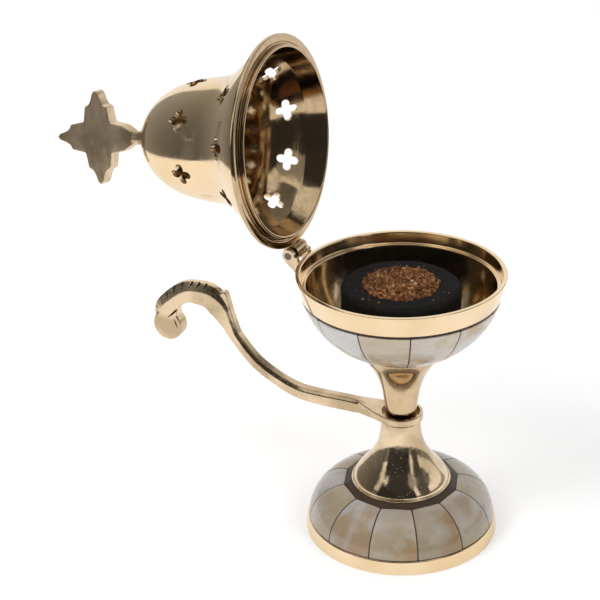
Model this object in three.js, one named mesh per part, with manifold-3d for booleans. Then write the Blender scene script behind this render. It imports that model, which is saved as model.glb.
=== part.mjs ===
// Hand censer: a brass bowl on a trumpet stem and a domed foot, both inlaid with mother-of-pearl,
// with a notched scroll handle and a pierced, bell-shaped lid that is hinged over the handle.
// Millimetres, +Z up, with the handle towards -X. The pieces are drawn round the stem's axis, with the foot's
// underside at height 0. The whole is then moved along X, so that the origin lies on the ground below the
// middle of the open censer. The lid is drawn closed in its own group, which is turned open about the pin.

import * as THREE from 'three';
import { mergeVertices } from 'three/addons/utils/BufferGeometryUtils.js';
import Module from 'manifold-3d';

const wasm = await Module();
wasm.setup();

// Gaps between pieces
const fit = 0.3;
const bedGap = 0.2;
const boltClearance = 0.3;
const pinClearance = 0.15;

// Foot: a ring, and a quarter-oval dome above it
const footRadius = 33.4;
const footRingHeight = 4.8;
const footRingTaper = 0.8;
const footTileSetback = 0.25;
const footCrestRadius = 19;
const footDomeBase = 4;
const footDomeRise = 13.35;
const footTileThickness = 1.1;
const footMasticThickness = 0.6;
const footWall = 1.5;
const footSeatRise = 0.75;
const footTileClearance = 2.1;
const footCollarRise = 1.15;
const footSeamStart = 2;

// Mother-of-pearl inlay
const tileCount = 12;
const seamWidth = 0.5;

// Lower stem, a cone casting that widens down to the foot
const coneHeight = 25.6;
const coneFootRadius = 17.3;
const coneCollarHeight = 2.7;
const coneCollarRounding = 0.6;
const coneTopRadius = 6.6;
const coneFlareReach = 9.2;
const coneFlarePower = 1.65;

// Upper stem, a trumpet that widens up to the bowl
const trumpetHeight = 22.7;
const trumpetFootRadius = 5;
const trumpetTopRadius = 12.9;
const trumpetLipHeight = 0.5;
const trumpetFlareReach = 7.9;
const trumpetFlarePower = 1.12;

// Bowl: a half-oval cup with a rim band, a ledge inside and a boss below
const rimRadius = 35;
const rimLipWidth = 1.6;
const rimBandHeight = 7.44;
const rimBandTaper = 2;
const rimProud = 0.9;
const bowlFloorRadius = 4.8;
const bowlDepth = 29.3;
const bowlTileThickness = 0.9;
const bowlMasticThickness = 0.4;
const bowlWall = 1;
const bowlLedgeDepth = 3.94;
const bowlLedgeTaper = 0.5;
const masticLineWidth = 0.8;
const masticLineRecess = 0.5;
const bossInset = 1.4;
const bossDrop = 1.24;
const bowlTileClearance = 1.7;
const bowlSeamStart = 27;

// Handle: an eye round the stem, a flat root, a bar and a scroll with a bulb
const eyeRadius = 7.6;
const eyeWall = 1;
const eyeThickness = 2.6;
const eyeFloor = 0.8;
const barWidth = 4.8;
const edgeBreak = 0.3;
const rootLength = 17;
const bulbRadius = 5.6;
const tongueRadius = 1.6;
const scrollBevelDepth = 3.2;
const scrollBevelInset = 1.2;
const notchCount = 9;
const notchWidth = 1.3;
const notchDepth = 0.6;
const notchSlant = 25;
const notchReach = 0.85;
const firstNotchStation = 9.1;
const lastNotchStation = 13;

// Centreline of the bar and scroll: [x, height above the eye's underside, half thickness, bevel share]
const barStations = [
  [-10, 1.4, 1.6, 0],
  [-17, 1.8, 2.5, 0],
  [-30, 1.9, 2.5, 0],
  [-39, 2.9, 2.3, 0],
  [-47.6, 6.6, 2.1, 0],
  [-55.1, 11.6, 2, 0],
  [-61.9, 19.4, 2, 0],
  [-64.8, 24.3, 2.55, 0],
  [-67.9, 29.6, 4.1, 0.3],
  [-71.2, 33.2, 4.5, 1],
  [-76, 34.1, 4.25, 1],
  [-81.1, 33.6, 3.8, 1],
  [-86.7, 29.7, 3.7, 1],
  [-89.3, 25, 4.7, 0.8],
  [-88.7, 19.7, 4.5, 0.2],
];
const tongueStart = [-63.3, 27];
const tongueEnd = [-66.1, 35.5];

// Hinge at the back of the rim
const hingeOut = 3.45;
const hingeUp = 1.56;
const pinRadius = 1.1;
const earRadius = 2.15;
const earThickness = 2.2;
const earFootHeight = 3.2;
const earFootDrop = 3;
const lugWidth = 6;
const lugRimClearance = 0.9;
const lugPlateRise = 0.4;
const lidOpening = 96;

// Lid: a flanged bell with two rows of quatrefoil piercings
const flangeOverhang = 0.3;
const flangeThickness = 1.6;
const flangeRounding = 0.5;
const flangeLedge = 3.7;
const spigotClearance = 1.6;
const spigotWall = 0.95;
const spigotDepth = 1.6;
const mouthConeHeight = 5;
const bellRadius = 21;
const bellShoulder = 20;
const bellHeight = 52;
const bellDomePower = 2.3;
const bellFlareReach = 11;
const bellWall = 1.5;
const crownSeatRadius = 4;
const piercingLobeRadius = 1.5;
const piercingLobeOffset = 2.35;
const piercingRows = [
  { height: 11.3, count: 9, start: 3.5 },
  { height: 29, count: 7, start: 357.9 },
];

// Finial: a flat cross with ogee arms on a round neck
const crossCentreHeight = 70.6;
const crossThickness = 5.1;
const crossTurn = 10;
const neckRadius = 2.4;
const neckTopHeight = 57.2;
const neckFootRadius = 3.3;
const neckFootHeight = 1;
const studRadius = 1.5;
const studLength = 5;

// Half of one arm, from its inner corner over its shoulder to its tip: [distance from the centre, half width]
const armStations = [
  [5.6, 5.3],
  [8, 4.8],
  [10.5, 4.3],
  [11.4, 2.9],
  [13.2, 1.8],
  [15.2, 1.1],
  [16.3, 0],
];

// Bolt, washer and nuts
const boltRadius = 2.5;
const boltHeadRadius = 4.2;
const boltHeadHeight = 2.4;
const boltTail = 2;
const washerRadius = 8;
const washerThickness = 1.2;
const nutRadius = 4.6;
const nutHeight = 3.5;
const finialNutRadius = 3.2;
const finialNutHeight = 2.4;

// Charcoal tablet and incense
const charcoalRadius = 20;
const charcoalHeight = 17.3;
const charcoalChamfer = 1.2;
const dishRadius = 13.4;
const dishDepth = 2.4;
const incenseRadius = 12.6;
const incenseRise = 1.6;
const incenseEdgeHeight = 0.72;
const incenseGrain = 0.45;
const incenseRaggedness = 0.03;

// Counts of facets
const roundSides = 48;
const bellSides = 40;
const stemSides = 36;
const smallSides = 20;
const arcSteps = 4;
const flareSteps = 8;
const barSteps = 30;
const tileColumns = 4;
const tileRows = 4;
const lobeSteps = 24;
const heapColumns = 20;
const heapRows = 4;

// Heights worked out from the foot up
const footShellCrest = footDomeBase + footDomeRise - footTileThickness - footMasticThickness - 2 * bedGap;
const footRoof = footShellCrest - footWall;
const coneSeat = footShellCrest + footSeatRise;
const coneBase = coneSeat + fit;
const eyeUnderside = coneBase + coneHeight + fit;
const trumpetBase = eyeUnderside + eyeFloor + fit;
const bossBase = trumpetBase + trumpetHeight + fit;
const rimHeight = bossBase + bossDrop + bowlDepth;
const bowlInsideDepth = bowlTileThickness + bowlMasticThickness + 2 * bedGap + bowlWall;
const bowlFloorHeight = rimHeight - bowlDepth + bowlInsideDepth;
const hingeX = -(rimRadius + hingeOut);
const hingeZ = rimHeight + hingeUp;

// Radii worked out from the rim and the bolt
const rimInnerRadius = rimRadius - rimLipWidth;
const spigotOuterRadius = rimInnerRadius - spigotClearance;
const flangeRadius = rimRadius + flangeOverhang;
const bellFlareWidth = flangeRadius - flangeLedge - bellRadius;
const boreRadius = boltRadius + boltClearance;

// Shape helpers

const radians = THREE.MathUtils.degToRad;

// Joins the corners that coincide and drops triangles that have shrunk to a line
function weld(geometry) {
  geometry.deleteAttribute('normal');
  geometry.deleteAttribute('uv');
  const welded = mergeVertices(geometry);
  const corners = welded.index.array;
  const kept = [];
  for (let i = 0; i < corners.length; i += 3) {
    const [a, b, c] = corners.slice(i, i + 3);
    if (a !== b && b !== c && c !== a) kept.push(a, b, c);
  }
  welded.setIndex(kept);
  return welded;
}

// Turns a closed outline of [radius, height] points, listed anticlockwise, about the vertical axis
function turned(outline, sides, startAngle = 0) {
  const points = outline.map(([radius, height]) => new THREE.Vector2(radius, height));
  points.push(points[0].clone());
  const geometry = new THREE.LatheGeometry(points, sides, radians(startAngle + 90));
  geometry.rotateX(Math.PI / 2);
  return weld(geometry);
}

// Extrudes an [x, z] outline along Y, centred on the plane y = 0
function slab(outline, thickness) {
  const shape = new THREE.Shape(outline.map(([x, z]) => new THREE.Vector2(x, z)));
  const geometry = new THREE.ExtrudeGeometry(shape, { depth: thickness, bevelEnabled: false });
  geometry.rotateX(Math.PI / 2);
  geometry.translate(0, thickness / 2, 0);
  return weld(geometry);
}

// Extrudes an [x, y] outline up from one height to another
function prism(outline, bottom, top) {
  const shape = new THREE.Shape(outline.map(([x, y]) => new THREE.Vector2(x, y)));
  const geometry = new THREE.ExtrudeGeometry(shape, { depth: top - bottom, bevelEnabled: false });
  geometry.translate(0, 0, bottom);
  return weld(geometry);
}

function circle(centreX, centreY, radius, sides) {
  return Array.from({ length: sides }, (_, i) => {
    const angle = (2 * Math.PI * i) / sides;
    return [centreX + radius * Math.cos(angle), centreY + radius * Math.sin(angle)];
  });
}

// Upright cylinder on the main axis
function column(radius, bottom, top, sides = smallSides) {
  return turned([[0, bottom], [radius, bottom], [radius, top], [0, top]], sides);
}

// Cylinder along Y through the point x, z
function rod(x, z, radius, length) {
  return slab(circle(x, z, radius, smallSides), length);
}

// Evenly spaced samples of a function of one number, both ends included
function samples(from, to, steps, pointAt) {
  return Array.from({ length: steps + 1 }, (_, i) => pointAt(from + ((to - from) * i) / steps));
}

// Falls from 1 towards 0 over a distance, as the profile of a trumpet does
function flare(distance, reach, power) {
  return Math.exp(-((distance / reach) ** power));
}

// Closed body from a grid of points on two faces; pointAt(column share, row share, face) gives a corner
function plate(columns, rows, pointAt) {
  const positions = [];
  const triangles = [];
  const corner = (face, i, j) => (face * (columns + 1) + i) * (rows + 1) + j;
  for (const face of [0, 1]) {
    for (let i = 0; i <= columns; i += 1) {
      for (let j = 0; j <= rows; j += 1) positions.push(...pointAt(i / columns, j / rows, face));
    }
  }
  const quad = (a, b, c, d) => triangles.push(a, b, c, a, c, d);
  for (let i = 0; i < columns; i += 1) {
    for (let j = 0; j < rows; j += 1) {
      quad(corner(0, i, j), corner(0, i + 1, j), corner(0, i + 1, j + 1), corner(0, i, j + 1));
      quad(corner(1, i, j), corner(1, i, j + 1), corner(1, i + 1, j + 1), corner(1, i + 1, j));
    }
    quad(corner(0, i, 0), corner(1, i, 0), corner(1, i + 1, 0), corner(0, i + 1, 0));
    quad(corner(0, i, rows), corner(0, i + 1, rows), corner(1, i + 1, rows), corner(1, i, rows));
  }
  for (let j = 0; j < rows; j += 1) {
    quad(corner(0, 0, j), corner(0, 0, j + 1), corner(1, 0, j + 1), corner(1, 0, j));
    quad(corner(0, columns, j), corner(1, columns, j), corner(1, columns, j + 1), corner(0, columns, j + 1));
  }
  return facingOut(positions, triangles);
}

// Closed body through a row of rings, each a list of the same number of corners
function loft(rings) {
  const size = rings[0].length;
  const positions = rings.flat(2);
  const triangles = [];
  for (let k = 0; k < rings.length - 1; k += 1) {
    for (let i = 0; i < size; i += 1) {
      const next = (i + 1) % size;
      const [a, b, c, d] = [k * size + i, k * size + next, (k + 1) * size + next, (k + 1) * size + i];
      triangles.push(a, b, c, a, c, d);
    }
  }
  const last = (rings.length - 1) * size;
  for (let i = 1; i < size - 1; i += 1) {
    triangles.push(0, i + 1, i);
    triangles.push(last, last + i, last + i + 1);
  }
  return facingOut(positions, triangles);
}

// Makes a geometry whose faces point out, whichever way round its corners were listed
function facingOut(positions, triangles) {
  const at = (index) => new THREE.Vector3().fromArray(positions, 3 * index);
  let volume = 0;
  for (let i = 0; i < triangles.length; i += 3) {
    volume += at(triangles[i]).dot(at(triangles[i + 1]).cross(at(triangles[i + 2])));
  }
  const geometry = new THREE.BufferGeometry();
  geometry.setAttribute('position', new THREE.Float32BufferAttribute(positions, 3));
  geometry.setIndex(volume > 0 ? triangles : triangles.reverse());
  return weld(geometry);
}

// Booleans: a geometry becomes a solid, and the result becomes a geometry again

function solid(geometry) {
  const mesh = new wasm.Mesh({
    numProp: 3,
    vertProperties: new Float32Array(geometry.attributes.position.array),
    triVerts: new Uint32Array(geometry.index.array),
  });
  return new wasm.Manifold(mesh);
}

function shell(result) {
  const mesh = result.getMesh();
  const geometry = new THREE.BufferGeometry();
  geometry.setAttribute('position', new THREE.Float32BufferAttribute(mesh.vertProperties, 3));
  geometry.setIndex(Array.from(mesh.triVerts));
  return geometry;
}

const joined = (first, ...others) => (
  shell(others.reduce((sum, other) => sum.add(solid(other)), solid(first)))
);
const cut = (first, ...others) => (
  shell(others.reduce((rest, other) => rest.subtract(solid(other)), solid(first)))
);
const common = (first, second) => shell(solid(first).intersect(solid(second)));

// Ovals of the foot and the bowl: a point at an angle up or down from the widest place, under the tile face

function footOval(depth, angle) {
  const reach = footRadius - footRingTaper - footTileSetback - footCrestRadius - depth;
  const rise = footDomeRise - depth;
  return [footCrestRadius + reach * Math.cos(angle), footDomeBase + rise * Math.sin(angle)];
}

function bowlOval(depth, angle) {
  const reach = rimRadius - rimProud - bowlFloorRadius - depth;
  const drop = bowlDepth - depth;
  return [bowlFloorRadius + reach * Math.cos(angle), rimHeight - drop * Math.sin(angle)];
}

// Angles at which an oval passes a height or a radius

function footAngleAtHeight(depth, height) {
  return Math.asin((height - footDomeBase) / (footDomeRise - depth));
}

function bowlAngleAtHeight(depth, height) {
  return Math.asin((rimHeight - height) / (bowlDepth - depth));
}

function ovalAngleAtRadius(oval, depth, radius) {
  const [widest] = oval(depth, 0);
  const [narrowest] = oval(depth, Math.PI / 2);
  return Math.acos((radius - narrowest) / (widest - narrowest));
}

// One tile of a ring: it follows the oval, its sides keep half a seam clear, and its narrow end is a chord
function tile(index, { oval, thickness, seamStart, startAngle, endRadius }) {
  const halfStep = Math.PI / tileCount;
  const middle = radians(seamStart) + (2 * index + 1) * halfStep;
  return plate(tileColumns, tileRows, (across, along, face) => {
    const depth = face * thickness;
    const side = 2 * across - 1;
    const chordRadius = endRadius / Math.cos(side * halfStep);
    const start = startAngle(depth);
    const end = ovalAngleAtRadius(oval, depth, chordRadius);
    const [radius, height] = oval(depth, start + (end - start) * along);
    const angle = middle + side * (halfStep - Math.asin(seamWidth / 2 / radius));
    return [radius * Math.cos(angle), radius * Math.sin(angle), height];
  });
}

// Foot

const footTileEnd = coneFootRadius + footTileClearance;
const footMasticDepth = footTileThickness + bedGap;
const footShellDepth = footMasticDepth + footMasticThickness + bedGap;

function baseShell() {
  const outerStart = footAngleAtHeight(footShellDepth, footRingHeight);
  const insideDepth = footShellDepth + footWall;
  const outline = [
    [footRadius - footWall, 0],
    [footRadius, 0],
    [footRadius - footRingTaper, footRingHeight],
    ...samples(outerStart, Math.PI / 2, arcSteps, (angle) => footOval(footShellDepth, angle)),
    [coneFootRadius, footShellCrest],
    [coneFootRadius, coneSeat],
    [boreRadius, coneSeat],
    [boreRadius, footRoof],
    ...samples(Math.PI / 2, 0, arcSteps, (angle) => footOval(insideDepth, angle)),
  ];
  return turned(outline, roundSides);
}

function baseMastic() {
  const bedStart = footRingHeight + bedGap;
  const topDepth = footMasticDepth;
  const lowDepth = footMasticDepth + footMasticThickness;
  const [, crestTop] = footOval(topDepth, Math.PI / 2);
  const [, crestLow] = footOval(lowDepth, Math.PI / 2);
  const topStart = footAngleAtHeight(topDepth, bedStart);
  const lowStart = footAngleAtHeight(lowDepth, bedStart);
  const hole = coneFootRadius + fit;
  const bed = turned([
    ...samples(topStart, Math.PI / 2, arcSteps, (angle) => footOval(topDepth, angle)),
    [hole, crestTop],
    [hole, crestLow],
    ...samples(Math.PI / 2, lowStart, arcSteps, (angle) => footOval(lowDepth, angle)),
  ], roundSides);
  // The rim of mastic round the cone is a twelve-sided ring that stands inside the tiles' straight ends
  const corner = (footTileEnd - fit) / Math.cos(Math.PI / tileCount);
  const tileFace = footDomeBase + footDomeRise;
  const ring = turned([
    [hole - fit, crestLow],
    [corner, crestLow],
    [corner, tileFace],
    [hole - fit, tileFace + footCollarRise],
  ], tileCount, footSeamStart);
  return cut(joined(bed, ring), column(hole, crestLow - fit, tileFace + footCollarRise + fit, roundSides));
}

const footTiles = {
  oval: footOval,
  thickness: footTileThickness,
  seamStart: footSeamStart,
  startAngle: (depth) => footAngleAtHeight(depth, footRingHeight + bedGap),
  endRadius: footTileEnd,
};

// Stem

function lowerStem() {
  const collarTop = coneBase + coneCollarHeight;
  const top = coneBase + coneHeight;
  const spread = coneFootRadius - coneTopRadius;
  return turned([
    [boreRadius, coneBase],
    [coneFootRadius - coneCollarRounding, coneBase],
    [coneFootRadius, coneBase + coneCollarRounding],
    [coneFootRadius, collarTop - coneCollarRounding],
    [coneFootRadius - coneCollarRounding, collarTop],
    ...samples(0, top - collarTop, flareSteps, (rise) => [
      coneTopRadius + (spread - coneCollarRounding) * flare(rise, coneFlareReach, coneFlarePower),
      collarTop + rise,
    ]).slice(1),
    [boreRadius, top],
  ], stemSides);
}

function upperStem() {
  const lipBase = trumpetBase + trumpetHeight - trumpetLipHeight;
  const spread = trumpetTopRadius - trumpetFootRadius;
  return turned([
    [boreRadius, trumpetBase],
    ...samples(lipBase - trumpetBase, 0, flareSteps, (drop) => [
      trumpetFootRadius + spread * flare(drop, trumpetFlareReach, trumpetFlarePower),
      lipBase - drop,
    ]),
    [trumpetTopRadius, lipBase + trumpetLipHeight],
    [boreRadius, lipBase + trumpetLipHeight],
  ], stemSides);
}

// Handle

// Section of the bar at a place along it, as corners round the centreline
function barSection(share) {
  const route = new THREE.CatmullRomCurve3(barStations.map(([x, rise]) => new THREE.Vector3(x, 0, rise)));
  const sizes = new THREE.CatmullRomCurve3(barStations.map((s) => new THREE.Vector3(s[2], s[3], 0)));
  for (const curve of [route, sizes]) curve.curveType = 'catmullrom';
  const centre = route.getPoint(share);
  const along = route.getTangent(share);
  const outward = new THREE.Vector3(along.z, 0, -along.x);
  const { x: half, y: bevelShare } = sizes.getPoint(share);
  const drop = edgeBreak + (scrollBevelDepth - edgeBreak) * bevelShare;
  const inset = edgeBreak + (scrollBevelInset - edgeBreak) * bevelShare;
  return { centre, along, outward, half, drop, inset };
}

function barRing(share) {
  const { centre, outward, half, drop, inset } = barSection(share);
  const side = barWidth / 2;
  const corners = [
    [-half, side - edgeBreak],
    [-half + edgeBreak, side],
    [half - drop, side],
    [half, side - inset],
  ];
  const mirrored = corners.map(([out, y]) => [out, -y]).reverse();
  return [...corners, ...mirrored].map(([out, y]) => [
    centre.x + outward.x * out,
    y,
    eyeUnderside + centre.z + outward.z * out,
  ]);
}

// Outline of two circles' common hull, for the tongue and the root
function tangentOutline([x0, y0], radius0, [x1, y1], radius1) {
  const direction = Math.atan2(y1 - y0, x1 - x0);
  const lean = Math.acos((radius0 - radius1) / Math.hypot(x1 - x0, y1 - y0));
  const arc = (x, y, radius, from, to) => samples(from, to, smallSides / 2, (angle) => [
    x + radius * Math.cos(direction + angle),
    y + radius * Math.sin(direction + angle),
  ]);
  return [
    ...arc(x0, y0, radius0, lean, 2 * Math.PI - lean),
    ...arc(x1, y1, radius1, -lean, lean),
  ];
}

function handle() {
  const above = ([x, rise]) => [x, eyeUnderside + rise];
  const bar = loft(samples(0, 1, barSteps, barRing));
  const [bulbX, bulbZ] = above(barStations.at(-1));
  const bulb = slab(circle(bulbX, bulbZ, bulbRadius, 2 * smallSides), barWidth);
  const tongue = slab(tangentOutline(above(tongueStart), tongueRadius, above(tongueEnd), tongueRadius),
    barWidth - 2 * edgeBreak);
  const eye = column(eyeRadius, eyeUnderside, eyeUnderside + eyeThickness, stemSides);

  // The root is a flat, filed triangle between the bar and the eye
  const [, rootRise, rootHalf] = barStations[1];
  const rootPlan = tangentOutline([0, 0], eyeRadius, [-rootLength, 0], barWidth / 2);
  const rootSide = [
    [-rootLength, rootRise - rootHalf],
    [-eyeRadius, 0],
    [0, 0],
    [0, eyeThickness],
    [-eyeRadius, eyeThickness],
    [-rootLength, rootRise + rootHalf],
  ].map(above);
  const root = common(
    prism(rootPlan, eyeUnderside - eyeThickness, eyeUnderside + rootRise + rootHalf + eyeThickness),
    slab(rootSide, 2 * eyeRadius + barWidth),
  );

  const recess = column(eyeRadius - eyeWall, eyeUnderside + eyeFloor, trumpetBase + trumpetHeight, stemSides);
  const bore = column(boreRadius, coneBase, trumpetBase + fit);
  return cut(joined(bar, bulb, tongue, eye, root), recess, bore, ...notches());
}

// Slanted file cuts across both bevels of the scroll's outer edge, evenly spaced along it
function notches() {
  const last = barStations.length - 1;
  return samples(firstNotchStation / last, lastNotchStation / last, notchCount - 1, (share) => (
    [notch(share, 1), notch(share, -1)]
  )).flat();
}

// V-shaped cutter along the bevel of one side of the scroll, from the side face towards the outer face
function notch(share, side) {
  const { centre, along, outward, half, drop, inset } = barSection(share);
  const across = new THREE.Vector3(0, side, 0);
  const length = Math.hypot(drop, inset);
  const up = outward.clone().multiplyScalar(drop / length).addScaledVector(across, -inset / length);
  const normal = outward.clone().multiplyScalar(inset / length).addScaledVector(across, drop / length);
  const cutter = slab([
    [-notchWidth, notchDepth],
    [0, -notchDepth],
    [notchWidth, notchDepth],
  ], notchReach * length);
  cutter.rotateZ(side * radians(notchSlant));
  cutter.applyMatrix4(new THREE.Matrix4().makeBasis(along.multiplyScalar(side), up, normal));
  centre.addScaledVector(outward, half - drop / 2).addScaledVector(across, (barWidth - inset) / 2);
  cutter.translate(centre.x, centre.y, eyeUnderside + centre.z);
  return cutter;
}

// Bowl

const bowlMasticDepth = bowlTileThickness + bedGap;
const bowlShellDepth = bowlMasticDepth + bowlMasticThickness + bedGap;
const bossRadius = trumpetTopRadius - bossInset;
const bandBase = rimHeight - rimBandHeight;
const bandBaseRadius = rimRadius - rimBandTaper;

function bowl() {
  const ledgeHeight = rimHeight - bowlLedgeDepth;
  const shellTop = bowlAngleAtHeight(bowlShellDepth, bandBase);
  const shellEnd = ovalAngleAtRadius(bowlOval, bowlShellDepth, bossRadius);
  const ledge = bowlAngleAtHeight(bowlInsideDepth, ledgeHeight);
  return turned([
    [boreRadius, bossBase],
    [bossRadius, bossBase],
    ...samples(shellEnd, shellTop, arcSteps, (angle) => bowlOval(bowlShellDepth, angle)),
    [bandBaseRadius, bandBase],
    [rimRadius, rimHeight],
    [rimInnerRadius, rimHeight],
    [rimInnerRadius - bowlLedgeTaper, ledgeHeight],
    ...samples(ledge, Math.PI / 2, arcSteps + 1, (angle) => bowlOval(bowlInsideDepth, angle)),
    [boreRadius, bowlFloorHeight],
  ], roundSides);
}

function bowlMastic() {
  const topDepth = bowlMasticDepth;
  const lowDepth = bowlMasticDepth + bowlMasticThickness;
  const endRadius = bossRadius + fit;
  const lineTop = bandBase - bedGap;
  const lineBase = bandBase - masticLineWidth;
  const topStart = bowlAngleAtHeight(topDepth, lineBase);
  const lowStart = bowlAngleAtHeight(lowDepth, lineTop);
  const topEnd = ovalAngleAtRadius(bowlOval, topDepth, endRadius);
  const lowEnd = ovalAngleAtRadius(bowlOval, lowDepth, endRadius);
  return turned([
    ...samples(topEnd, topStart, arcSteps, (angle) => bowlOval(topDepth, angle)),
    [bandBaseRadius - masticLineRecess, lineBase],
    [bandBaseRadius - masticLineRecess, lineTop],
    ...samples(lowStart, lowEnd, arcSteps, (angle) => bowlOval(lowDepth, angle)),
  ], roundSides);
}

const bowlTiles = {
  oval: bowlOval,
  thickness: bowlTileThickness,
  seamStart: bowlSeamStart,
  startAngle: (depth) => bowlAngleAtHeight(depth, bandBase - masticLineWidth - bedGap),
  endRadius: bossRadius + bowlTileClearance,
};

// Hinge

const earSpan = lugWidth + 2 * fit + 2 * earThickness;
const lugRadius = Math.hypot(hingeOut, hingeUp) - lugRimClearance;

// Solid of the rim band, and of the closed lid's way above it, with a gap round both
function rimEnvelope() {
  const deep = rimHeight - 2 * rimBandHeight;
  const high = hingeZ + 2 * earRadius;
  const slope = rimBandTaper / rimBandHeight;
  const lidRadius = Math.max(rimRadius, flangeRadius);
  return turned([
    [0, deep],
    [rimRadius + fit - 2 * rimBandHeight * slope, deep],
    [rimRadius + fit, rimHeight],
    [lidRadius + fit, rimHeight],
    [lidRadius + fit, high],
    [0, high],
  ], roundSides);
}

// Two ears round the pin, and a foot below the lug that joins them along the rim
function hingeBracket() {
  const inside = -rimRadius + earFootDrop;
  const footTop = rimHeight - earFootDrop + fit;
  const footBase = rimHeight - earFootDrop - earFootHeight / 2;
  const ear = joined(
    rod(hingeX, hingeZ, earRadius, earSpan),
    slab([
      [hingeX - earRadius / 2, hingeZ - earRadius],
      [-rimRadius - fit, footBase],
      [inside, footBase],
      [inside, rimHeight + fit],
      [hingeX + earRadius, hingeZ],
    ], earSpan),
  );
  const lugWay = slab([
    [hingeX - 2 * earRadius, footTop - fit],
    [inside, footTop - fit],
    [inside, hingeZ + 2 * earRadius],
    [hingeX - 2 * earRadius, hingeZ + 2 * earRadius],
  ], lugWidth + 2 * fit);
  return cut(ear, lugWay, rimEnvelope(), rod(hingeX, hingeZ, pinRadius + pinClearance, 2 * earSpan));
}

const hingePin = () => rod(hingeX, hingeZ, pinRadius, earSpan - fit);

// Lid, drawn closed; its flange rests on the rim with a small gap

const flangeBase = rimHeight + fit;

function bellRadiusAt(height) {
  const share = Math.max(0, (height - bellShoulder) / (bellHeight - bellShoulder));
  const dome = bellRadius * Math.sqrt(Math.max(0, 1 - share ** bellDomePower));
  return dome + bellFlareWidth * flare(Math.max(0, height - flangeThickness), bellFlareReach, 2);
}

// The bell's outside as [radius, height] points, with more of them where the crown turns in
function bellOutline() {
  const crownShare = (1 - (crownSeatRadius / bellRadius) ** 2) ** (1 / bellDomePower);
  const rise = (turn) => bellShoulder + (bellHeight - bellShoulder) * crownShare * Math.sin(turn);
  return [
    ...samples(flangeThickness, bellShoulder, arcSteps, (height) => [bellRadiusAt(height), height]),
    ...samples(0, Math.PI / 2, arcSteps + 1, (turn) => [bellRadiusAt(rise(turn)), rise(turn)]).slice(1),
  ];
}

// Moves each point of an outline inwards, square to the outline there
function inset(outline, distance) {
  return outline.map(([radius, height], index) => {
    const [radius0, height0] = outline[Math.max(0, index - 1)];
    const [radius1, height1] = outline[Math.min(outline.length - 1, index + 1)];
    const length = Math.hypot(radius1 - radius0, height1 - height0);
    return [
      radius - (distance * (height1 - height0)) / length,
      height + (distance * (radius1 - radius0)) / length,
    ];
  });
}

// Opening of four round lobes, cut square to the bell's surface
function piercing(height, angle) {
  const lobes = samples(0, 2 * Math.PI, lobeSteps, (turn) => {
    const fromLobe = ((turn + Math.PI / 4) % (Math.PI / 2)) - Math.PI / 4;
    const aside = piercingLobeOffset * Math.sin(fromLobe);
    const bulge = Math.sqrt(Math.max(0, piercingLobeRadius ** 2 - aside ** 2));
    const radius = piercingLobeOffset * Math.cos(fromLobe) + bulge;
    return [radius * Math.cos(turn), radius * Math.sin(turn)];
  }).slice(1);
  const cutter = prism(lobes, -2 * bellWall, 2 * bellWall);
  const slope = Math.atan2(bellRadiusAt(height - fit) - bellRadiusAt(height + fit), 2 * fit);
  cutter.rotateY(Math.PI / 2 - slope);
  cutter.translate(bellRadiusAt(height), 0, flangeBase + height);
  cutter.rotateZ(radians(angle));
  return cutter;
}

function lidBell() {
  const outside = bellOutline();
  const [, crownHeight] = outside.at(-1);
  const inside = inset(outside, bellWall).filter(([, height]) => height > mouthConeHeight).reverse();
  inside[0] = [crownSeatRadius, crownHeight - bellWall];
  const bore = studRadius + boltClearance;
  const rounded = flangeRadius - flangeRounding;
  const outline = [
    [spigotOuterRadius - spigotWall, -spigotDepth],
    [spigotOuterRadius, -spigotDepth],
    [spigotOuterRadius, 0],
    [rounded, 0],
    [flangeRadius, flangeRounding],
    [flangeRadius, flangeThickness - flangeRounding],
    [rounded, flangeThickness],
    ...outside,
    [bore, crownHeight],
    [bore, crownHeight - bellWall],
    ...inside,
  ].map(([radius, height]) => [radius, flangeBase + height]);
  const holes = piercingRows.flatMap(({ height, count, start }) => (
    Array.from({ length: count }, (_, i) => piercing(height, start + (360 * i) / count))
  ));
  return cut(turned(outline, bellSides), ...holes);
}

// Knuckle round the pin and a plate that reaches the flange's edge
function hingeLug() {
  const reach = -flangeRadius + lugWidth / 2;
  const plateTop = flangeBase + flangeThickness + lugPlateRise;
  const body = joined(
    rod(hingeX, hingeZ, lugRadius, lugWidth),
    slab([
      [hingeX, flangeBase],
      [reach, flangeBase],
      [reach, plateTop],
      [hingeX, Math.max(plateTop, hingeZ + lugRadius)],
    ], lugWidth),
  );
  const flangeEnvelope = column(flangeRadius + fit, flangeBase - fit, hingeZ + 2 * lugRadius, bellSides);
  return cut(body, flangeEnvelope, rod(hingeX, hingeZ, pinRadius + pinClearance, 2 * lugWidth));
}

// Finial

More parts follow.
